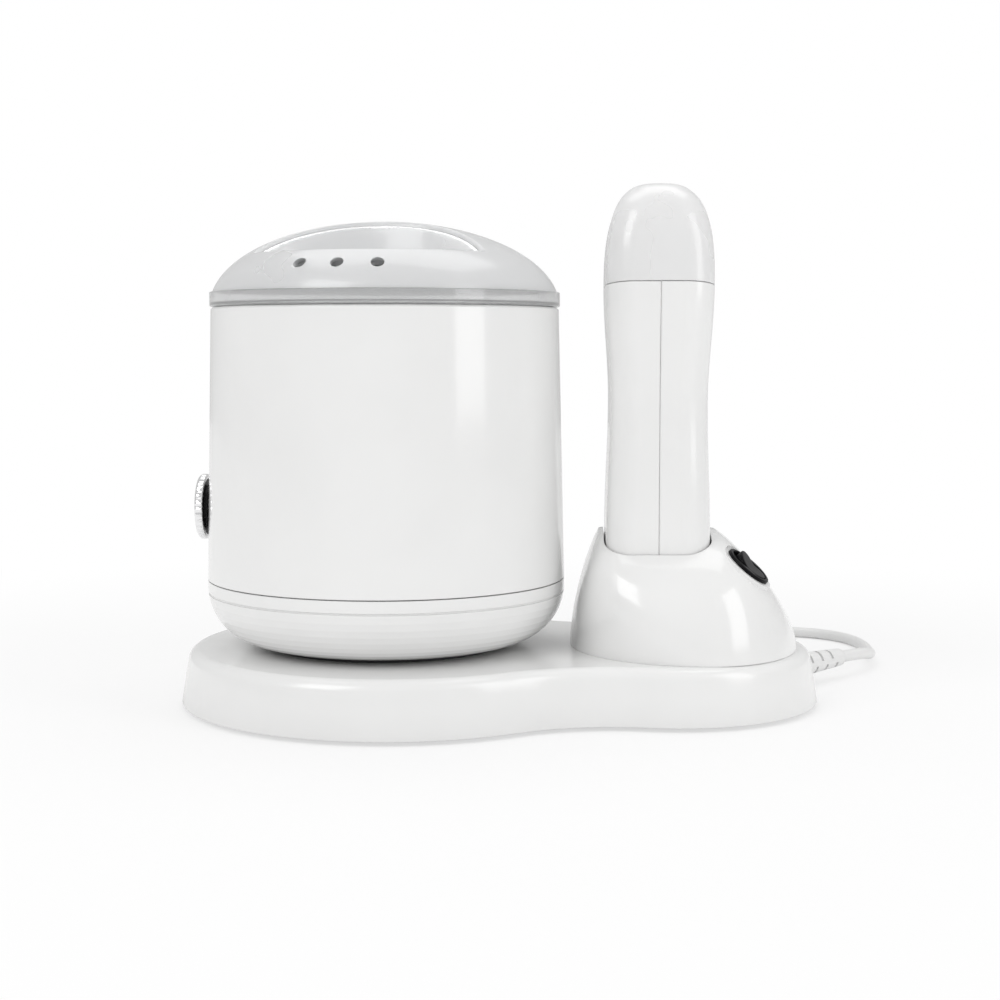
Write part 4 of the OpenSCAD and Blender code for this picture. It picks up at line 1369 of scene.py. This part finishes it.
def through(points, step):
    """Catmull-Rom curve through points, sampled about every step."""
    out = []
    pts = [Vector(p) for p in points]
    pts = [2 * pts[0] - pts[1], *pts, 2 * pts[-1] - pts[-2]]
    for a, b, c, d in zip(pts, pts[1:], pts[2:], pts[3:]):
        count = max(1, round((c - b).length / step))
        for k in range(count):
            t = k / count
            square = (2 * a - 5 * b + 4 * c - d) * t * t
            cube = (3 * b - a - 3 * c + d) * t**3
            out.append(0.5 * (2 * b + (c - a) * t + square + cube))
    out.append(pts[-2])
    return out


def lead_path(step):
    turns = 2 * COIL_TURNS + 0.5
    count = round(turns * 72)
    coil = [Vector(coil_point(turns * i / count)) for i in range(count + 1)]
    start, tail = (through(route, step / MM) for route in (LEAD_ROUTE, TAIL_ROUTE))
    return [p * MM for p in start[:-1] + coil + tail[1:]]


class HEATER_OT_lead(bpy.types.Operator):
    """Lays the mains lead from its strain relief to the plug"""

    bl_idname = "wax_heater.lead"
    bl_label = "Mains lead"

    def execute(self, context):
        values = context.scene.heater_lead
        path = lead_path(values.step)
        curve = bpy.data.curves.new("mains_lead", "CURVE")
        curve.dimensions = "3D"
        curve.bevel_depth = values.diameter / 2
        curve.bevel_resolution = 5
        curve.use_fill_caps = True
        line = curve.splines.new("POLY")
        line.points.add(len(path) - 1)
        for point, at in zip(line.points, path):
            point.co = (*at, 1)
        line.use_smooth = True
        lead = bpy.data.objects.new("mains_lead", curve)
        context.scene.collection.objects.link(lead)
        curve.materials.append(MATERIALS["lead_white"])
        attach(lead, "root")
        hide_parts("cord", "cord_coil", "cord_tail")
        return {"FINISHED"}


# ---------------- stage


def aimed(thing, at, aim):
    """Object of a lamp or camera that looks from a place at a point."""
    holder = bpy.data.objects.new(thing.name, thing)
    holder.location = at
    look = Vector(aim) - Vector(at)
    holder.rotation_euler = look.to_track_quat("-Z", "Y").to_euler()
    bpy.context.scene.collection.objects.link(holder)
    return holder


def area_lamp(name, at, size, power):
    lamp = bpy.data.lights.new(name, "AREA")
    lamp.shape = "RECTANGLE"
    lamp.size, lamp.size_y = size
    lamp.energy = power
    aimed(lamp, at, LAMP_AIM)


FLOOR_HALF = 3.0
FLOOR_WHITE = (0.9, 0.9, 0.9, 1)
GLOSSY_SHARE = 0.6
LAMP_AIM = (0, 0, 0.1)


def emptied(tree, output):
    """Clears a node tree and gives it an output node."""
    tree.nodes.clear()
    return tree.nodes.new(output)


class HEATER_OT_camera(bpy.types.Operator):
    """Sets the camera at the photograph's viewing angle"""

    bl_idname = "wax_heater.camera"
    bl_label = "Camera"

    def execute(self, context):
        studio = context.scene.heater_studio
        camera = bpy.data.cameras.new("camera")
        camera.lens = studio.lens
        camera.sensor_width = 36
        context.scene.camera = aimed(camera, studio.camera_at, studio.look_at)
        return {"FINISHED"}


class HEATER_OT_stage(bpy.types.Operator):
    """Adds the pale floor, the lamps and the white background"""

    bl_idname = "wax_heater.stage"
    bl_label = "Floor and lamps"

    def execute(self, context):
        studio = context.scene.heater_studio
        scene = context.scene
        scene.view_settings.view_transform = "Standard"

        corners = ((-1, -1), (1, -1), (1, 1), (-1, 1))
        mesh = bpy.data.meshes.new("floor")
        mesh.from_pydata(
            [(x * FLOOR_HALF, y * FLOOR_HALF, 0) for x, y in corners],
            [],
            [(0, 1, 2, 3)],
        )
        floor = bpy.data.objects.new("floor", mesh)
        scene.collection.objects.link(floor)
        material = bpy.data.materials.new("floor_white")
        material.use_nodes = True
        tree = material.node_tree
        out = emptied(tree, "ShaderNodeOutputMaterial")
        matt = tree.nodes.new("ShaderNodeBsdfDiffuse")
        matt.inputs["Color"].default_value = FLOOR_WHITE
        glow = tree.nodes.new("ShaderNodeEmission")
        rays = tree.nodes.new("ShaderNodeLightPath").outputs
        place = tree.nodes.new("ShaderNodeNewGeometry").outputs["Position"]
        distance = vector_node(tree, "LENGTH", place).outputs["Value"]
        away = map_range(tree, distance, 0.17, 0.6, 0.62, 1.0)
        glossy = math_node(tree, "MULTIPLY", rays["Is Glossy Ray"], GLOSSY_SHARE)
        seen = math_node(tree, "MAXIMUM", rays["Is Camera Ray"], glossy)
        share = math_node(tree, "MULTIPLY", away, seen)
        mix_shaders(tree, share, matt, glow, out)
        mesh.materials.append(material)

        world = bpy.data.worlds.new("studio")
        scene.world = world
        world.use_nodes = True
        tree = world.node_tree
        out = emptied(tree, "ShaderNodeOutputWorld")
        room, white = (tree.nodes.new("ShaderNodeBackground") for _ in range(2))
        for light, level in ((room, studio.world_level), (white, 1)):
            light.inputs["Color"].default_value = (1, 1, 1, 1)
            light.inputs["Strength"].default_value = level
        rays = tree.nodes.new("ShaderNodeLightPath").outputs
        seen = math_node(
            tree, "MAXIMUM", rays["Is Camera Ray"], rays["Is Transmission Ray"]
        )
        mix_shaders(tree, seen, room, white, out)

        key, fill = studio.key_power, studio.fill_power
        area_lamp("key", (-0.8, -0.9, 1.0), (0.7, 0.9), key)
        area_lamp("fill", (1.0, -0.6, 0.6), (0.5, 1.0), fill)
        area_lamp("top", (0.0, 0.3, 1.2), (1.2, 0.7), fill)
        return {"FINISHED"}


class HEATER_OT_finishes(bpy.types.Operator):
    """Gives every part of the heater its plastic, metal or rubber"""

    bl_idname = "wax_heater.finishes"
    bl_label = "Finishes"

    def execute(self, context):
        make_materials(context.scene.heater_finish)
        dress_nodes()
        return {"FINISHED"}


# ---------------- panel and main


class HEATER_PT_panel(bpy.types.Panel):
    """Lists the heater's pieces in the sidebar"""

    bl_idname = "HEATER_PT_panel"
    bl_label = "Wax heater"
    bl_space_type = "VIEW_3D"
    bl_region_type = "UI"
    bl_category = "Wax heater"

    def draw(self, context):
        for group in GROUP_NAMES:
            values = getattr(context.scene, group)
            for name in values.bl_rna.properties.keys():
                if name not in ("rna_type", "name"):
                    self.layout.prop(values, name)
        for operator in OPERATORS:
            self.layout.operator(operator.bl_idname)


GROUP_NAMES = {
    "heater_finish": HeaterFinish,
    "heater_lead": HeaterLead,
    "heater_studio": HeaterStudio,
}
OPERATORS = (
    HEATER_OT_camera,
    HEATER_OT_finishes,
    HEATER_OT_plug,
    HEATER_OT_lead,
    HEATER_OT_base,
    HEATER_OT_dock,
    HEATER_OT_switch,
    HEATER_OT_knob,
    HEATER_OT_lid,
    HEATER_OT_handset,
    HEATER_OT_cap,
    HEATER_OT_stage,
)
CLASSES = (*GROUP_NAMES.values(), *OPERATORS, HEATER_PT_panel)


def register():
    for cls in CLASSES:
        bpy.utils.register_class(cls)
    for name, group in GROUP_NAMES.items():
        setattr(bpy.types.Scene, name, PointerProperty(type=group))


def unregister():
    for name in GROUP_NAMES:
        delattr(bpy.types.Scene, name)
    for cls in reversed(CLASSES):
        bpy.utils.unregister_class(cls)


def main():
    register()
    for operator in OPERATORS:
        area, name = operator.bl_idname.split(".")
        getattr(getattr(bpy.ops, area), name)()


if __name__ == "__main__":
    main()
